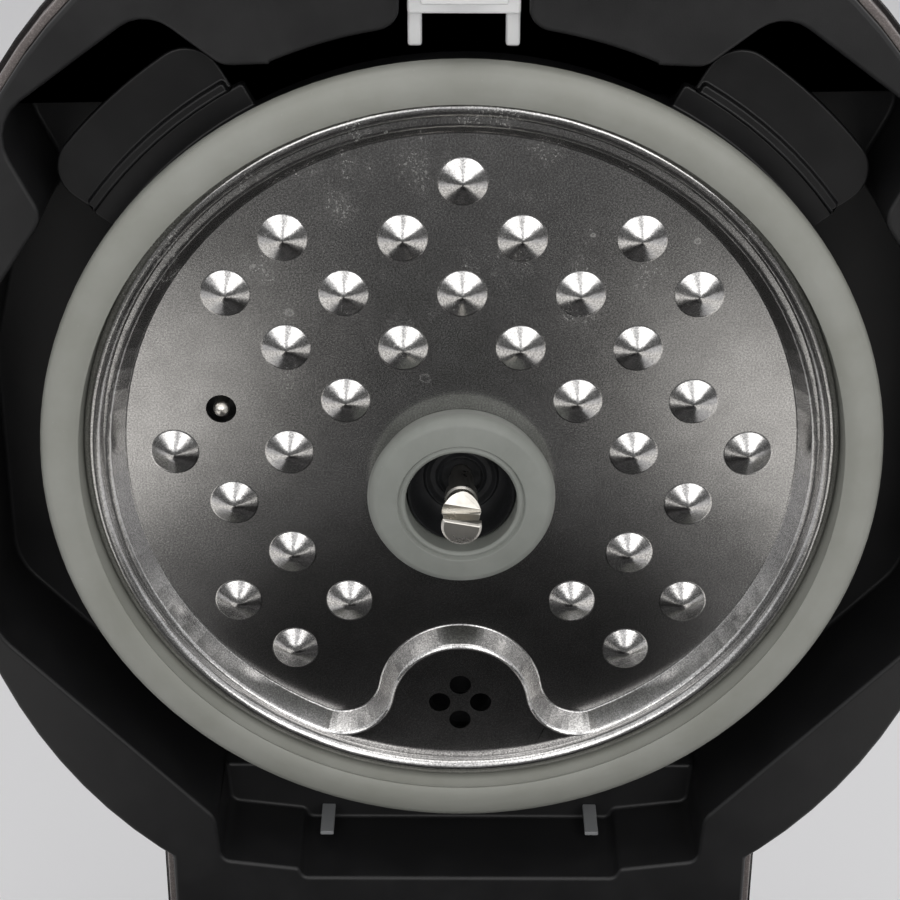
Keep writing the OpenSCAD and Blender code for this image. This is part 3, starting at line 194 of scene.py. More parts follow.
def makeStage():
    floorMaterial, tree, coords = newMaterial("paintedFloorMatt")
    shade = addNode(tree, "TexNoise", {"Scale": perMm(400), "Detail": 3}, {"Vector": coords})
    colour = addNode(tree, "Mix", {6: linearColour(studio["floorColour"]),
                                   7: linearColour(studio["floorShade"])},
                     {0: shade}, out=2, data_type="RGBA")
    closeMaterial(tree, {"Roughness": 0.8}, {"Base Color": colour})
    bpy.ops.mesh.primitive_plane_add(size=studio["floorSize"], location=(0, 0, 0))
    floor = bpy.context.object
    floor.name = "studioFloor"
    floor.data.materials.append(floorMaterial)
    # glowing cards stand for the table and the unlit room behind the camera, seen only in
    # reflections: painted reflections, the room's card a dim glow that fades further off
    reflectedRoomGlowMaterial, tree, coords = newMaterial("reflectionOnlyDimRoomGlow")
    away = addNode(tree, "SeparateXYZ", links={0: coords}, out="Y")
    nearGlow, farGlow = studio["roomGlow"]
    away = addNode(tree, "MapRange", {1: studio["tableFront"], 2: studio["roomFar"], 3: nearGlow,
                                      4: farGlow}, {0: away})
    closeMaterial(tree, {"Base Color": linearColour("000000"), "Specular IOR Level": 0,
                         "Emission Color": (1, 1, 1, 1)}, {"Emission Strength": away})
    # the table cards glow though they are no lamp: a painted bright reflection beside the body
    reflectedTableGlowMaterial, tree = newMaterial("reflectionOnlyTableGlow")[:2]
    closeMaterial(tree, {"Base Color": linearColour("000000"), "Specular IOR Level": 0,
                         "Emission Color": (1, 0.975, 0.94, 1),
                         "Emission Strength": studio["tableGlow"]}, {})
    front, wide, inner = studio["tableFront"], studio["tableWide"], studio["bodyWide"]
    side, far, radius = studio["sideFront"], front - studio["roomDeep"], studio["wallRadius"]
    body, (low, high) = studio["bodyFront"], studio["cardHeights"]
    cards = []
    for material, x0, x1, y0, y1, z in ((reflectedRoomGlowMaterial, -radius, radius, far, front, low),
                                        (reflectedRoomGlowMaterial, -inner, inner, front, body, low),
                                        (reflectedTableGlowMaterial, inner, wide, side, 0, high),
                                        (reflectedTableGlowMaterial, -wide, -inner, side, 0, high)):
        bpy.ops.mesh.primitive_plane_add(size=1, location=((x0 + x1) / 2, (y0 + y1) / 2, z))
        card = bpy.context.object
        card.scale = (x1 - x0, y1 - y0, 1)
        applyPlace(card)
        card.data.materials.append(material)
        cards.append(card)
    bpy.ops.mesh.primitive_cylinder_add(vertices=studio["wallSides"], radius=radius,
                                        depth=studio["wallHigh"], end_fill_type="NOTHING",
                                        location=(0, studio["wallMiddle"], studio["wallHigh"] / 2))
    card = bpy.context.object
    bpy.ops.object.mode_set(mode="EDIT")
    bpy.ops.mesh.select_all(action="SELECT")
    bpy.ops.mesh.bisect(plane_co=(0, studio["wallFrom"], 0), plane_no=(0, 1, 0), clear_outer=True)
    bpy.ops.object.mode_set(mode="OBJECT")
    card.data.materials.append(reflectedRoomGlowMaterial)
    cards.append(card)
    for number, card in enumerate(cards):
        card.name = f"reflectedCard{number}"
        card.visible_camera = card.visible_diffuse = card.visible_shadow = False
        card.visible_transmission = False


bpy.ops.object.select_all(action="DESELECT")
scene.view_settings.view_transform = "Standard"
makeCamera()
for name, values in studio["softboxes"].items():
    makeSoftbox(name, *values)
makeWorld()
makeStage()
print("stage, lights and camera made")


# materials

def stainlessSheet():
    # cold-rolled stainless, dull rolled and then pressed: soft broken reflections with a fine
    # speckled grain, and dried water marks on the upper half
    material, tree, coords = newMaterial("stainlessDullPressed")
    # the real grain is about a tenth of a millimetre; it is drawn four times coarser, to show
    grain = addNode(tree, "TexNoise", {"Scale": perMm(0.42), "Detail": 3, "Roughness": 0.7},
                    {"Vector": coords})
    blotch = addNode(tree, "TexNoise", {"Scale": perMm(9), "Detail": 4, "Roughness": 0.6},
                     {"Vector": coords})
    blotch = addNode(tree, "MapRange", {1: 0.35, 2: 0.65}, {0: blotch})
    sheet = addNode(tree, "Mix", {6: linearColour("c3c2c1"), 7: linearColour("b5b4b3")},
                    {0: blotch}, out=2, data_type="RGBA")
    speckle = addNode(tree, "MapRange", {1: 0.38, 2: 0.62, 3: 0.68, 4: 1.22}, {0: grain})
    sheet = addNode(tree, "VectorMath", links={0: sheet, "Scale": speckle}, operation="SCALE")
    # rings where single drops dried, in a few cells of an uneven grid
    shaken = addNode(tree, "TexNoise", {"Scale": perMm(3), "Detail": 2}, {"Vector": coords},
                     out="Color")
    shaken = addNode(tree, "VectorMath", {1: [1.6 * mm] * 3}, {0: shaken, 2: coords},
                     operation="MULTIPLY_ADD")
    drops = addNode(tree, "TexVoronoi", {"Scale": perMm(8)}, {"Vector": shaken})
    chance = addNode(tree, "TexVoronoi", {"Scale": perMm(8)}, {"Vector": shaken}, out="Color")
    chance = addNode(tree, "SeparateColor", links={0: chance})
    radius = addNode(tree, "MapRange", {1: 0.8, 2: 1, 3: -0.1, 4: 0.2}, {0: chance})
    ring = addNode(tree, "Math", links={0: drops, 1: radius}, operation="SUBTRACT")
    ring = addNode(tree, "Math", links={0: ring}, operation="ABSOLUTE")
    ring = addNode(tree, "MapRange", {1: 0.005, 2: 0.04, 3: 0.34, 4: 0}, {0: ring})
    # thin films with ragged speckled edges where water ran down
    runs = addNode(tree, "Mapping", {"Scale": (1, 1, 0.6), "Rotation": (0, 0.5, 0)},
                   {"Vector": coords})
    runs = addNode(tree, "TexNoise", {"Scale": perMm(13), "Detail": 5, "Roughness": 0.62},
                   {"Vector": runs})
    runs = addNode(tree, "MapRange", {1: 0.545, 2: 0.66}, {0: runs})
    dots = addNode(tree, "TexNoise", {"Scale": perMm(0.8), "Detail": 4, "Roughness": 0.75},
                   {"Vector": coords})
    dots = addNode(tree, "MapRange", {1: 0.5, 2: 0.68, 3: 0.03, 4: 0.8}, {0: dots})
    film = addNode(tree, "Math", links={0: runs, 1: dots}, operation="MULTIPLY")
    film = addNode(tree, "Math", {1: 0.8}, {0: film, 2: ring}, operation="MULTIPLY_ADD")
    height = addNode(tree, "SeparateXYZ", links={0: coords}, out="Z")
    upper = addNode(tree, "MapRange", {1: 0.305, 2: 0.35, 3: 0.1, 4: 1}, {0: height})
    marks = addNode(tree, "Math", links={0: film, 1: upper}, operation="MULTIPLY", use_clamp=True)
    shade = addNode(tree, "Mix", {7: linearColour("cfcfcb")}, {0: marks, 6: sheet}, out=2,
                    data_type="RGBA")
    metal = addNode(tree, "MapRange", {3: 1, 4: 0.55}, {0: marks})
    rough = addNode(tree, "MapRange", {1: 0.3, 2: 0.7, 3: 0.175, 4: 0.215}, {0: grain})
    rough = addNode(tree, "Math", {1: 0.3}, {0: marks, 2: rough}, operation="MULTIPLY_ADD")
    normal = addNode(tree, "Bump", {"Distance": 0.006 * mm, "Strength": 0.35}, {"Height": grain})
    closeMaterial(tree, {}, {"Base Color": shade, "Metallic": metal, "Roughness": rough,
                             "Normal": normal})
    return material


def siliconeMoulded(name, base, worn):
    # compression-moulded silicone: satin, slightly dusty, a little soft in the light
    material, tree, coords = newMaterial(name)
    cloud = addNode(tree, "TexNoise", {"Scale": perMm(16), "Detail": 4, "Roughness": 0.6},
                    {"Vector": coords})
    dust = addNode(tree, "TexNoise", {"Scale": perMm(0.9), "Detail": 3, "Roughness": 0.7},
                   {"Vector": coords})
    tone = addNode(tree, "MapRange", {1: 0.35, 2: 0.7}, {0: cloud})
    shade = addNode(tree, "Mix", {6: linearColour(base), 7: linearColour(worn)}, {0: tone}, out=2,
                    data_type="RGBA")
    specks = addNode(tree, "MapRange", {1: 0.68, 2: 0.76, 4: 0.25}, {0: dust})
    shade = addNode(tree, "Mix", {7: linearColour("b4b5b0")}, {0: specks, 6: shade}, out=2,
                    data_type="RGBA")
    rough = addNode(tree, "MapRange", {1: 0.3, 2: 0.7, 3: 0.4, 4: 0.5}, {0: cloud})
    normal = addNode(tree, "Bump", {"Distance": 0.02 * mm, "Strength": 0.4}, {"Height": dust})
    closeMaterial(tree, {"Specular IOR Level": 0.4},
                  {"Base Color": shade, "Roughness": rough, "Normal": normal})
    return material


def plasticMoulded(name, base, lighter, roughness, pitSize=0.5, pitDepth=0.03, gloss=0.5):
    # injection-moulded plastic from a spark-eroded tool: even pits, faint handling marks; real
    # pits are finer, and these are drawn coarse enough to show
    material, tree, coords = newMaterial(name)
    pits = addNode(tree, "TexNoise", {"Scale": perMm(pitSize), "Detail": 2}, {"Vector": coords})
    wear = addNode(tree, "TexNoise", {"Scale": perMm(17), "Detail": 5, "Roughness": 0.62},
                   {"Vector": coords})
    tone = addNode(tree, "MapRange", {1: 0.42, 2: 0.72}, {0: wear})
    shade = addNode(tree, "Mix", {6: linearColour(base), 7: linearColour(lighter)}, {0: tone},
                    out=2, data_type="RGBA")
    rough = addNode(tree, "MapRange", {1: 0.3, 2: 0.7, 3: roughness - 0.05, 4: roughness + 0.05},
                    {0: wear})
    normal = addNode(tree, "Bump", {"Distance": pitDepth * mm, "Strength": 0.5}, {"Height": pits})
    closeMaterial(tree, {"Specular IOR Level": gloss},
                  {"Base Color": shade, "Roughness": rough, "Normal": normal})
    return material


def lacquer(name, base, fleck, roughness, coat):
    # sprayed metallic lacquer under a clear coat: deep colour with fine flecks, drawn at a quarter
    # of a millimetre, coarser than real ones, and a slight orange peel
    material, tree, coords = newMaterial(name)
    flecks = addNode(tree, "TexVoronoi", {"Scale": perMm(0.25)}, {"Vector": coords}, out="Color")
    chance = addNode(tree, "SeparateColor", links={0: flecks})
    tone = addNode(tree, "MapRange", {1: 0.5, 2: 1.0}, {0: chance})
    shade = addNode(tree, "Mix", {6: linearColour(base), 7: linearColour(fleck)}, {0: tone}, out=2,
                    data_type="RGBA")
    orange = addNode(tree, "TexNoise", {"Scale": perMm(2.2), "Detail": 2, "Roughness": 0.4},
                     {"Vector": coords})
    rough = addNode(tree, "MapRange", {3: roughness - 0.03, 4: roughness + 0.03}, {0: orange})
    normal = addNode(tree, "Bump", {"Distance": 0.01 * mm, "Strength": 0.35}, {"Height": orange})
    closeMaterial(tree, {"Metallic": 0.25, "Coat Weight": coat, "Coat Roughness": 0.05},
                  {"Base Color": shade, "Roughness": rough, "Normal": normal})
    return material


def steelPart(name, base, stain, roughness):
    # drawn, pressed or turned metal: fine drawn grain, slightly dulled patches
    material, tree, coords = newMaterial(name)
    fine = addNode(tree, "TexNoise", {"Scale": perMm(0.3), "Detail": 3, "Roughness": 0.6},
                   {"Vector": coords})
    patch = addNode(tree, "TexNoise", {"Scale": perMm(6), "Detail": 3, "Roughness": 0.6},
                    {"Vector": coords})
    tone = addNode(tree, "MapRange", {1: 0.4, 2: 0.7}, {0: patch})
    shade = addNode(tree, "Mix", {6: linearColour(base), 7: linearColour(stain)}, {0: tone}, out=2,
                    data_type="RGBA")
    rough = addNode(tree, "MapRange", {1: 0.3, 2: 0.7, 3: roughness * 0.8, 4: roughness * 1.3},
                    {0: patch})
    normal = addNode(tree, "Bump", {"Distance": 0.01 * mm, "Strength": 0.5}, {"Height": fine})
    closeMaterial(tree, {"Metallic": 1.0},
                  {"Base Color": shade, "Roughness": rough, "Normal": normal})
    return material


def rubber(name, base, bloom):
    # moulded rubber, tape or sintered powder: dull, with a pale bloom in patches
    material, tree, coords = newMaterial(name)
    fine = addNode(tree, "TexNoise", {"Scale": perMm(0.6), "Detail": 3, "Roughness": 0.6},
                   {"Vector": coords})
    patch = addNode(tree, "TexNoise", {"Scale": perMm(5), "Detail": 4, "Roughness": 0.6},
                    {"Vector": coords})
    tone = addNode(tree, "MapRange", {1: 0.45, 2: 0.75}, {0: patch})
    shade = addNode(tree, "Mix", {6: linearColour(base), 7: linearColour(bloom)}, {0: tone}, out=2,
                    data_type="RGBA")
    rough = addNode(tree, "MapRange", {1: 0.3, 2: 0.7, 3: 0.5, 4: 0.68}, {0: fine})
    normal = addNode(tree, "Bump", {"Distance": 0.02 * mm, "Strength": 0.4}, {"Height": fine})
    closeMaterial(tree, {}, {"Base Color": shade, "Roughness": rough, "Normal": normal})
    return material


def nonStickCoat():
    # sprayed fluoropolymer on aluminium: dark grey with small pale mineral flecks
    material, tree, coords = newMaterial("fluoropolymerSprayed")
    flecks = addNode(tree, "TexVoronoi", {"Scale": perMm(1.6)}, {"Vector": coords})
    chance = addNode(tree, "TexVoronoi", {"Scale": perMm(1.6)}, {"Vector": coords}, out="Color")
    chance = addNode(tree, "SeparateColor", links={0: chance})
    radius = addNode(tree, "MapRange", {1: 0.6, 2: 1, 3: 0.02, 4: 0.3}, {0: chance})
    dot = addNode(tree, "Math", links={0: flecks, 1: radius}, operation="LESS_THAN")
    shade = addNode(tree, "Mix", {6: linearColour("3b3a3b"), 7: linearColour("8f8b86")}, {0: dot},
                    out=2, data_type="RGBA")
    fine = addNode(tree, "TexNoise", {"Scale": perMm(0.5), "Detail": 2}, {"Vector": coords})
    rough = addNode(tree, "MapRange", {3: 0.3, 4: 0.42}, {0: fine})
    normal = addNode(tree, "Bump", {"Distance": 0.02 * mm, "Strength": 0.4}, {"Height": fine})
    closeMaterial(tree, {"Metallic": 0.3}, {"Base Color": shade, "Roughness": rough,
                                            "Normal": normal})
    return material


def lcdGlass():
    # liquid crystal under a polariser with a painted glow, a faint emission that is no lamp; the
    # window wears it too, so that the digits, which stand on its face, can be read
    material, tree, coords = newMaterial("lcdPolariserPaintedGlow")
    cloud = addNode(tree, "TexNoise", {"Scale": perMm(12), "Detail": 2}, {"Vector": coords})
    shade = addNode(tree, "Mix", {6: linearColour("8f9a86"), 7: linearColour("9aa590")}, {0: cloud},
                    out=2, data_type="RGBA")
    rough = addNode(tree, "MapRange", {3: 0.2, 4: 0.26}, {0: cloud})
    # painted glow: a faint emission lights the display and its window so that they do not render
    # dark
    closeMaterial(tree, {"Emission Strength": 0.18},
                  {"Base Color": shade, "Emission Color": shade, "Roughness": rough})
    return material


def circuitBoard():
    # glass-epoxy laminate under green resist: paler tracks between fields, and a faint weave
    material, tree, coords = newMaterial("fr4SolderResist")
    tracks = addNode(tree, "TexBrick", {"Scale": perMm(8), "Mortar Size": 0.03,
                                        "Color1": linearColour("1f5a30"),
                                        "Color2": linearColour("246637"),
                                        "Mortar": linearColour("3d8a4c")}, {"Vector": coords})
    weave = addNode(tree, "TexNoise", {"Scale": perMm(0.7), "Detail": 2}, {"Vector": coords})
    rough = addNode(tree, "MapRange", {3: 0.3, 4: 0.42}, {0: weave})
    normal = addNode(tree, "Bump", {"Distance": 0.03 * mm, "Strength": 0.3}, {"Height": weave})
    closeMaterial(tree, {}, {"Base Color": tracks, "Roughness": rough, "Normal": normal})
    return material


finishes = {
    "blackLiner": plasticMoulded("absSparkTextured", "1a1a1b", "1f1f20", 0.44, 0.45, 0.035, 0.32),
    "blackFrame": plasticMoulded("ppSparkTextured", "141415", "1a1a1c", 0.44, 0.5, 0.04, 0.4),
    "blackSatin": plasticMoulded("petSatinMoulded", "0f0f10", "141415", 0.4, 0.6, 0.02, 0.3),
    "greyCase": plasticMoulded("petHeatProofMoulded", "2c2c2e", "38383a", 0.5, 0.5, 0.03, 0.4),
    "paleCarrier": plasticMoulded("phenolicMoulded", "cfc8b8", "dad4c6", 0.55, 0.5, 0.03, 0.4),
    # the latch's near-white colour paints in the bright softbox reflection that shows on its face
    "latchPaintedBright": plasticMoulded("latchNearWhitePaintedHighlight", "e3e4e4", "e9e9e9", 0.4, 0.6, 0.015, 0.4),
    "clipGrey": plasticMoulded("acetalGreyMoulded", "8b8d8f", "96989a", 0.45, 0.6, 0.015, 0.4),
    "keyCap": plasticMoulded("siliconeSoftTouch", "3a3a3c", "444446", 0.5, 0.4, 0.02, 0.4),
    "startCap": plasticMoulded("siliconeSoftTouchCopper", "7d4a30", "8c563a", 0.48, 0.4, 0.02, 0.4),
    "markInk": plasticMoulded("screenInkPale", "c9c9c6", "bdbdba", 0.55, 0.3, 0.005, 0.3),
    "displayGlass": lcdGlass(),
    "displayInk": plasticMoulded("lcdSegment", "20241f", "262a24", 0.3, 0.5, 0.003, 0.4),
    "glossPanel": lacquer("acrylicBlackPolished", "0b0b0c", "101012", 0.1, 1.0),
    "brownLacquer": lacquer("lacquerBrownBlack", "191617", "332c2b", 0.24, 1.0),
    "trimLacquer": lacquer("lacquerWarmGreySatin", "716a68", "8d8583", 0.36, 0.3),
    "stainless": stainlessSheet(),
    "gasketSilicone": siliconeMoulded("siliconeGreyMoulded", "898a83", "91928c"),
    "grommetSilicone": siliconeMoulded("siliconeBlueGreyMoulded", "7f827d", "888b86"),
    "turnedSteel": steelPart("stainlessTurned", "d8d5cf", "c4c0b8", 0.3),
    "brightSteel": steelPart("steelNickelPlated", "d4d5d6", "bfc0c1", 0.22),
    "greySteel": steelPart("steelZincPlated", "8f9193", "7c7e80", 0.38),
    "wire": steelPart("springWireDrawn", "9a9a9c", "87878a", 0.3),
    "aluminium": steelPart("aluminiumRolledSheet", "b9babc", "a3a5a8", 0.35),
    "copper": steelPart("copperEnamelledWire", "b8693c", "9c5630", 0.32),
    "ferrite": rubber("ferriteSintered", "3a3a3c", "4a4a4b"),
    "windings": rubber("polyesterTapeWound", "5a4636", "6e5a48"),
    "rubberBlack": rubber("nitrileRubberMoulded", "17181a", "26272a"),
    "rubberFoot": rubber("rubberFootMoulded", "2c2c2d", "3a3a3b"),
    "brass": steelPart("brassTurned", "c9b26a", "b29a55", 0.28),
    "coat": nonStickCoat(),
    "board": circuitBoard(),
}

nodeFinish = {
    "lid_cover": "brownLacquer", "lid_trim": "trimLacquer", "lid_liner": "blackLiner",
    "heat_plate": "aluminium", "inner_lid_clips": "clipGrey", "inner_lid_plate": "stainless",
    "gasket": "gasketSilicone", "inner_lid_carrier": "blackSatin",
    "center_grommet": "grommetSilicone",
    "pin_boot": "rubberBlack", "pressure_pin": "turnedSteel", "solenoid": "windings",
    "lid_sensor_pin": "turnedSteel", "lid_sensor_base": "blackFrame", "latch": "latchPaintedBright",
    "latch_springs": "wire", "release_button": "trimLacquer", "steam_pipe": "blackFrame",
    "steam_cap": "brownLacquer", "hinge_pin": "wire", "hinge_spring": "wire", "inner_pot": "coat",
    "top_frame": "blackFrame", "latch_keeper": "brightSteel", "outer_shell": "brownLacquer",
    "bottom_pan": "blackFrame", "feet": "rubberFoot", "inner_case": "greyCase",
    "heating_coil": "copper", "coil_carrier": "paleCarrier", "ferrite_bars": "ferrite",
    "bottom_probe": "aluminium", "probe_spring": "wire", "control_panel": "glossPanel",
    "display_window": "displayGlass", "control_board": "board", "menu_button": "keyCap",
    "timer_button": "keyCap", "hour_button": "keyCap", "minute_button": "keyCap",
    "cancel_button": "keyCap", "start_button": "startCap", "power_board": "board",
    "heat_sink": "aluminium", "fan_frame": "blackFrame", "fan_rotor": "greyCase",
    "power_inlet": "blackSatin", "inlet_pins": "brass", "screws": "greySteel",
}

for name, cadNode in frame["nodes"].items():
    cadNode.data.materials.clear()
    cadNode.data.materials.append(finishes[nodeFinish[name]])
print("finishes given to", len(frame["nodes"]), "CAD nodes")


# finished copies of the nodes that show

bodies = frame["record"]["behaviour"]["bodies"]
bodyOf = {node: body for body, nodes in bodies.items() for node in nodes}

# edge rounding in mm, its steps, the angle from which an edge counts as one, the smoothing angle
edgeFinish = {
    "lid_liner": (1.1, 3, 32, 34), "lid_cover": (0.5, 2, 45, 40), "lid_trim": (0.5, 2, 45, 30),
    "inner_lid_carrier": (0.6, 3, 38, 34), "inner_lid_clips": (0.3, 2, 40, 34),
    "gasket": (0.0, 0, 0, 50), "pin_boot": (0.2, 2, 50, 42), "lid_sensor_pin": (0.0, 0, 0, 45),
    "latch": (0.7, 3, 38, 34), "release_button": (0.5, 2, 40, 34), "steam_cap": (0.4, 2, 50, 40),
    "inner_pot": (0.3, 2, 60, 40), "top_frame": (0.6, 2, 40, 34), "latch_keeper": (0.3, 2, 40, 34),
    "outer_shell": (0.4, 2, 50, 40), "bottom_pan": (0.4, 2, 50, 34), "feet": (0.5, 2, 50, 34),
    "control_panel": (0.3, 2, 50, 34), "display_window": (0.15, 1, 50, 34),
    "menu_button": (0.5, 3, 50, 34), "timer_button": (0.5, 3, 50, 34),
    "hour_button": (0.5, 3, 50, 34), "minute_button": (0.5, 3, 50, 34),
    "cancel_button": (0.5, 3, 50, 34), "start_button": (0.5, 3, 50, 34),
    "power_inlet": (0.3, 2, 50, 34), "inlet_pins": (0.3, 2, 50, 34),
    "heat_plate": (0.0, 0, 0, 34), "bottom_probe": (0.3, 2, 50, 34), "inner_case": (0.0, 0, 0, 34),
    "hinge_pin": (0.3, 2, 50, 34),
}


mergeSet = {"weld": 0.003, "flatAngle": 0.25}


def mergedCopy(node, flatten=True):
    piece = bpy.data.objects.new(node + "_finished", frame["nodes"][node].data.copy())
    scene.collection.objects.link(piece)
    selectOnly(piece)
    bpy.ops.mesh.customdata_custom_splitnormals_clear()
    bpy.ops.object.mode_set(mode="EDIT")
    bpy.ops.mesh.select_all(action="SELECT")
    bpy.ops.mesh.remove_doubles(threshold=mergeSet["weld"] * mm)
    if flatten:
        bpy.ops.mesh.dissolve_limited(angle_limit=math.radians(mergeSet["flatAngle"]))
    bpy.ops.object.mode_set(mode="OBJECT")
    return piece


def standForNode(piece, node):
    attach(piece, bodyOf[node])
    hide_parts(node)


def roundEdges(piece, width, steps, corner, smooth):
    selectOnly(piece)
    if width:
        applyModifier(piece, "BEVEL", width=width * mm, segments=steps, limit_method="ANGLE",
                      angle_limit=math.radians(corner), use_clamp_overlap=False)
    bpy.ops.object.shade_smooth_by_angle(angle=math.radians(smooth))
    applyModifier(piece, "WEIGHTED_NORMAL", keep_sharp=True)


for node, (width, steps, corner, smooth) in edgeFinish.items():
    piece = mergedCopy(node)
    roundEdges(piece, width, steps, corner, smooth)
    standForNode(piece, node)
print("finished copies made:", len(edgeFinish))


# the pressed sheet: folds and dimple feet get the radii of a press tool
plateFinish = {
    # for the top folds, the toe folds and the dimple feet: range of fold angles, range of heights
    # over the face, radius
    "folds": ((38, 80, 1, 9, 0.9), (38, 80, -0.1, 1, 0.3), (12, 32, -0.1, 0.1, 0.25)),
    "level": 0.02, "steps": 3, "faceY": 168.0, "smooth": 30,
}


def pressedPlate():
    piece = mergedCopy("inner_lid_plate", flatten=False)
    for low, high, under, over, width in plateFinish["folds"]:
        bpy.ops.object.mode_set(mode="EDIT")
        bpy.ops.mesh.select_mode(type="EDGE")
        bpy.ops.mesh.select_all(action="DESELECT")
        mesh = bmesh.from_edit_mesh(piece.data)
        for edge in mesh.edges:
            fold = math.degrees(edge.calc_face_angle(0))
            above = plateFinish["faceY"] - (edge.verts[0].co.y + edge.verts[1].co.y) / 2 / mm
            flat = abs(edge.verts[0].co.y - edge.verts[1].co.y) < plateFinish["level"] * mm
            edge.select = low < fold < high and flat and under < above < over
        bmesh.update_edit_mesh(piece.data)
        bpy.ops.mesh.bevel(offset=width * mm, segments=plateFinish["steps"], affect="EDGES")
        bpy.ops.object.mode_set(mode="OBJECT")
    roundEdges(piece, 0, 0, 0, plateFinish["smooth"])
    standForNode(piece, "inner_lid_plate")


pressedPlate()
print("pressed plate finished")


# centre of the inner lid: the grommet's lip stands well proud of the plate, the pin's tip is
# milled, and a rubber bell lines the hole
centreSet = {
    "y": 168.0, "z": 295.8,
    # grommet: the rings of its lip move out, its under ring shrinks a little
    "lipFrom": 1.0, "lipTo": 9, "lipRise": 3.8, "lipGrow": 1.008,
    "underAt": 0.1, "underRadius": 21, "underGrow": 0.96, "grommetEdge": (0.25, 2, 50, 42),
    # pin: its neck and tip, as heights over the plate, and how far the tip moves back
    "neckFrom": 7.0, "neckTo": 10.5, "neckRadius": 3.5, "neckGrow": 0.83,
    "tipFrom": 19.8, "tipTo": 23, "pinShorter": 1.7, "tipEnd": 20.3,
    # its milled cuts: how far the flat lies over the axis, where the slope and the slot behind the
    # tip end, how deep the slot is, both angles, and the turn of all of them about the axis
    "flatOver": 0.9, "slopeEnd": 14.3, "slope": 36, "slotEnd": 17.6, "slotUnder": 2.6,
    "tipSlope": 25, "pinTurn": 10, "cutter": (14, 12, 10), "pinEdge": (0.15, 2, 50, 38),
    "bellTurns": 64, "bellWeld": 0.001, "bellSmooth": 40,
}
# section of the bell: radius, height over the plate
bellProfile = ((9.2, -6.6), (10.3, -6.2), (12.0, -4.0), (12.9, -1.0), (13.1, 3.0), (12.6, 3.2),
               (12.4, -0.8), (11.5, -3.6), (10.0, -5.6), (9.2, -5.9))


def reshapeRings(piece, lowest, highest, leastRadius, move, grow):
    # moves and scales the rings of a turned piece that lie between two heights over the plate
    selectOnly(piece)
    bpy.ops.object.mode_set(mode="EDIT")
    bpy.ops.mesh.select_mode(type="VERT")
    bpy.ops.mesh.select_all(action="DESELECT")
    mesh = bmesh.from_edit_mesh(piece.data)
    for vertex in mesh.verts:
        above = centreSet["y"] - vertex.co.y / mm
        radius = math.hypot(vertex.co.x / mm, vertex.co.z / mm - centreSet["z"])
        vertex.select = lowest < above < highest and radius > leastRadius
    mesh.select_flush_mode()
    bmesh.update_edit_mesh(piece.data)
    bpy.ops.transform.translate(value=(0, -move * mm, 0))
    bpy.ops.transform.resize(value=(grow, 1, grow), center_override=(0, 0, centreSet["z"] * mm))
    bpy.ops.object.mode_set(mode="OBJECT")


def grommetRaised():
    piece = mergedCopy("center_grommet")
    at = centreSet["underAt"]
    reshapeRings(piece, -at, at, centreSet["underRadius"], 0, centreSet["underGrow"])
    reshapeRings(piece, centreSet["lipFrom"], centreSet["lipTo"], 0, centreSet["lipRise"],
                 centreSet["lipGrow"])
    roundEdges(piece, *centreSet["grommetEdge"])
    standForNode(piece, "center_grommet")


def pinStepped():
    piece = mergedCopy("pressure_pin")
    reshapeRings(piece, centreSet["neckFrom"], centreSet["neckTo"], centreSet["neckRadius"], 0,
                 centreSet["neckGrow"])
    reshapeRings(piece, centreSet["tipFrom"], centreSet["tipTo"], 0, -centreSet["pinShorter"], 1)
    y, z, flat = centreSet["y"], centreSet["z"], centreSet["flatOver"]
    slopeEnd, slotEnd = y - centreSet["slopeEnd"], y - centreSet["slotEnd"]
    slot = z - centreSet["slotUnder"]
    wide, deep, high = centreSet["cutter"]
    cuts = [thinBlock(0, slopeEnd - deep / 2, z + flat + high / 2, wide, deep, high),
            thinBlock(0, (slopeEnd + slotEnd) / 2, slot + high / 2, wide, slopeEnd - slotEnd, high),
            thinBlock(0, slopeEnd + deep / 2, z + flat + high / 2, wide, deep, high)]
    # the first block makes the flat on the tip, the second the slot, the third the sloped face
    for cut, angle, pivot in ((cuts[2], centreSet["slope"], slopeEnd),
                              (cuts[0], centreSet["tipSlope"], y - centreSet["tipEnd"])):
        selectOnly(cut)
        bpy.ops.transform.rotate(value=math.radians(-angle), orient_axis="X",
                                 center_override=(0, pivot * mm, (z + flat) * mm))
    for cut in cuts:
        selectOnly(cut)
        bpy.ops.transform.rotate(value=math.radians(-centreSet["pinTurn"]), orient_axis="Y",
                                 center_override=(0, y * mm, z * mm))
        selectOnly(piece)
        applyModifier(piece, "BOOLEAN", object=cut, operation="DIFFERENCE", solver="EXACT")
        bpy.data.objects.remove(cut)
    roundEdges(piece, *centreSet["pinEdge"])
    standForNode(piece, "pressure_pin")


def rubberBell():
    mesh = bpy.data.meshes.new("bootBell")
    y, z, points = centreSet["y"], centreSet["z"], len(bellProfile)
    mesh.from_pydata([(r * mm, (y - n) * mm, z * mm) for r, n in bellProfile],
                     [(i, (i + 1) % points) for i in range(points)], [])
    piece = bpy.data.objects.new("bootBell", mesh)
    scene.collection.objects.link(piece)
    selectOnly(piece)
    bpy.ops.object.mode_set(mode="EDIT")
    bpy.ops.mesh.select_all(action="SELECT")
    bpy.ops.mesh.spin(steps=centreSet["bellTurns"], angle=math.tau, axis=(0, 1, 0),
                      center=(0, 0, z * mm))
    bpy.ops.mesh.select_all(action="SELECT")
    bpy.ops.mesh.remove_doubles(threshold=centreSet["bellWeld"] * mm)
    bpy.ops.mesh.normals_make_consistent(inside=False)
    bpy.ops.object.mode_set(mode="OBJECT")
    bpy.ops.object.shade_smooth_by_angle(angle=math.radians(centreSet["bellSmooth"]))
    piece.data.materials.append(finishes["rubberBlack"])
    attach(piece, "lid")


grommetRaised()
pinStepped()
rubberBell()
print("grommet, pin and bell finished")


# display and marks

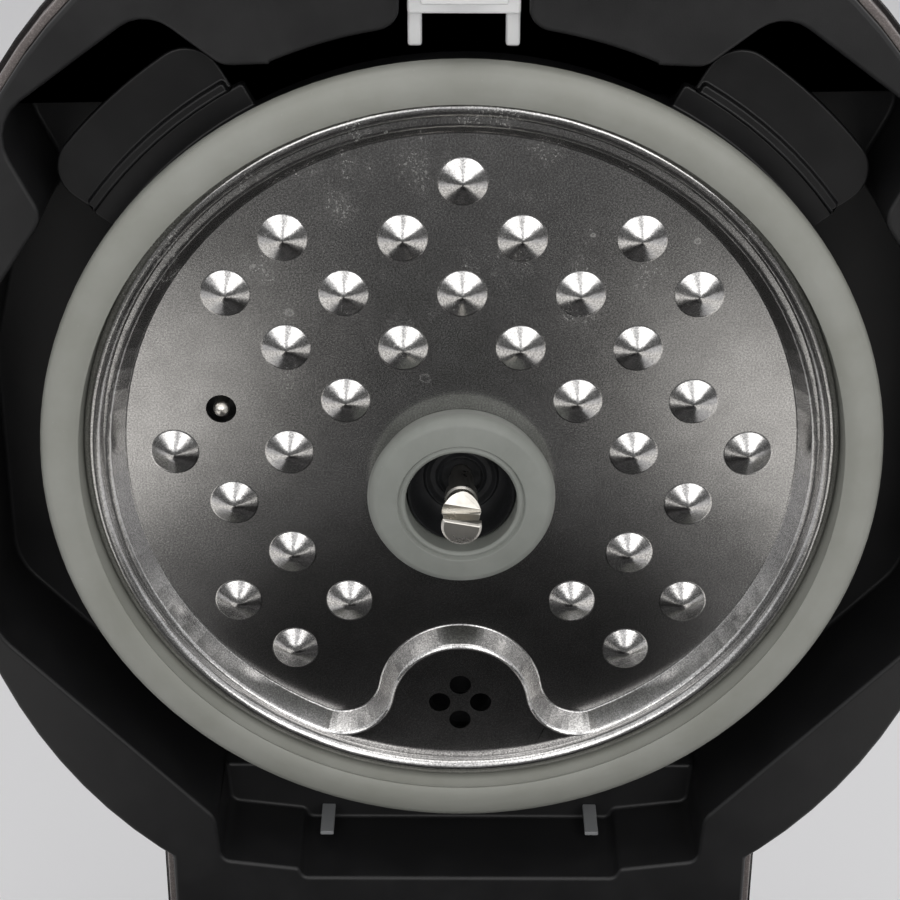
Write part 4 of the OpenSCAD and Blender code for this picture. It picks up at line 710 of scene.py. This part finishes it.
displaySet = {
    "halfWidth": 26.5, "low": 98.2, "high": 121.8, "front": -146.3, "back": -131.4, "edge": 0.4,
    "digits": "1230", "digitHigh": 9.0, "digitWide": 4.6, "pitch": 8.4, "stroke": 0.9, "join": 0.3,
    "colon": 1.8, "strokeDeep": 0.4, "strokeProud": 0.02, "strokeEdge": 0.02, "castFrom": -0.3,
}

# which of the seven strokes each digit has: top, upper left, upper right, middle, lower left,
# lower right, bottom
strokesOf = {"0": (1, 1, 1, 0, 1, 1, 1), "1": (0, 0, 1, 0, 0, 1, 0), "2": (1, 0, 1, 1, 1, 0, 1),
             "3": (1, 0, 1, 1, 0, 1, 1)}


def joined(parts, name, finish, body):
    bpy.ops.object.select_all(action="DESELECT")
    for part in parts:
        part.select_set(True)
    bpy.context.view_layer.objects.active = parts[0]
    if len(parts) > 1:
        bpy.ops.object.join()
    whole = bpy.context.view_layer.objects.active
    whole.name = name
    whole.data.materials.clear()
    whole.data.materials.append(finishes[finish])
    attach(whole, body)


def strokePlace(window, x, z):
    # the middle of a stroke that stands just proud of the window's curved face
    found = window.ray_cast(Vector((x * mm, displaySet["castFrom"], z * mm)), Vector((0, 1, 0)))
    return found[1].y / mm - displaySet["strokeProud"] + displaySet["strokeDeep"] / 2


def makeDisplay():
    values = displaySet
    middle = (values["low"] + values["high"]) / 2
    module = thinBlock(0, (values["front"] + values["back"]) / 2, middle, 2 * values["halfWidth"],
                       values["back"] - values["front"], values["high"] - values["low"],
                       values["edge"])
    joined([module], "displayModule", "displayGlass", "base")
    w, h, s = values["digitWide"], values["digitHigh"], values["stroke"]
    deep, edge, join = values["strokeDeep"], values["strokeEdge"], s * values["join"]
    window = bpy.data.objects["display_window_finished"]
    bpy.context.view_layer.update()
    last = len(values["digits"]) - 1
    parts = []
    for number, digit in enumerate(values["digits"]):
        x = (number - last / 2) * values["pitch"]
        places = ((x, h / 2, w, s), (x - w / 2, h / 4, s, h / 2), (x + w / 2, h / 4, s, h / 2),
                  (x, 0, w, s), (x - w / 2, -h / 4, s, h / 2), (x + w / 2, -h / 4, s, h / 2),
                  (x, -h / 2, w, s))
        for there, (cx, cz, wide, high) in zip(strokesOf[digit], places):
            if there:
                y = min(strokePlace(window, cx - wide / 2, middle + cz),
                        strokePlace(window, cx + wide / 2, middle + cz))
                parts.append(thinBlock(cx, y, middle + cz, wide - join if wide > s else s, deep,
                                       high - join if high > s else s, edge))
    for dz in (-values["colon"], values["colon"]):
        y = strokePlace(window, 0, middle + dz)
        parts.append(thinBlock(0, y, middle + dz, s, deep, s, edge))
    joined(parts, "displayDigits", "displayInk", "base")


markSet = {
    "thick": 0.08, "proud": 0.03, "bar": (5.2, 0.7), "barPitch": 1.8,
    "clock": (2.7, 0.3), "clockSides": (48, 6), "clockFlat": 0.15,
    # offset and length of both hands
    "handUp": (0.8, 1.8), "handAcross": (0.7, 1.5), "handWide": 0.5,
    "arrow": 2.6, "arrowShift": 0.4, "square": 3.8, "startArrow": 2.7,
}


def flatPrism(x, y, z, radius, corners, turn):
    # a thin mark with its face to the front
    bpy.ops.mesh.primitive_cylinder_add(vertices=corners, radius=radius * mm,
                                        depth=markSet["thick"] * mm,
                                        location=(x * mm, y * mm, z * mm),
                                        rotation=(math.radians(90), 0, 0))
    mark = bpy.context.object
    applyPlace(mark)
    bpy.ops.transform.rotate(value=math.radians(turn), orient_axis="Y",
                             center_override=(x * mm, y * mm, z * mm))
    applyPlace(mark)
    return mark


def makeMarks():
    thick, shift = markSet["thick"], markSet["arrowShift"]
    for node in ("menu_button", "timer_button", "hour_button", "minute_button", "cancel_button",
                 "start_button"):
        low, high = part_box(node)
        x, z = (low[0] + high[0]) / 2 / mm, (low[2] + high[2]) / 2 / mm
        y = low[1] / mm - markSet["proud"]
        if node == "menu_button":
            wide, tall = markSet["bar"]
            parts = [thinBlock(x, y, z + row * markSet["barPitch"], wide, thick, tall)
                     for row in (-1, 0, 1)]
        elif node == "timer_button":
            (radius, line), (sides, around) = markSet["clock"], markSet["clockSides"]
            bpy.ops.mesh.primitive_torus_add(major_radius=radius * mm, minor_radius=line * mm,
                                             major_segments=sides, minor_segments=around,
                                             location=(x * mm, y * mm, z * mm),
                                             rotation=(math.radians(90), 0, 0))
            ring = bpy.context.object
            ring.scale = (1, 1, markSet["clockFlat"])
            applyPlace(ring)
            (up, upLong), (across, acrossLong) = markSet["handUp"], markSet["handAcross"]
            hand = markSet["handWide"]
            parts = [ring, thinBlock(x, y, z + up, hand, thick, upLong),
                     thinBlock(x + across, y, z, acrossLong, thick, hand)]
        elif node == "hour_button":
            parts = [flatPrism(x, y, z - shift, markSet["arrow"], 3, 0)]
        elif node == "minute_button":
            parts = [flatPrism(x, y, z + shift, markSet["arrow"], 3, 180)]
        elif node == "cancel_button":
            parts = [thinBlock(x, y, z, markSet["square"], thick, markSet["square"])]
        else:
            parts = [flatPrism(x, y, z, markSet["startArrow"], 3, 90)]
        joined(parts, node + "_mark", "markInk", bodyOf[node])


makeDisplay()
makeMarks()
print("display and button marks made")
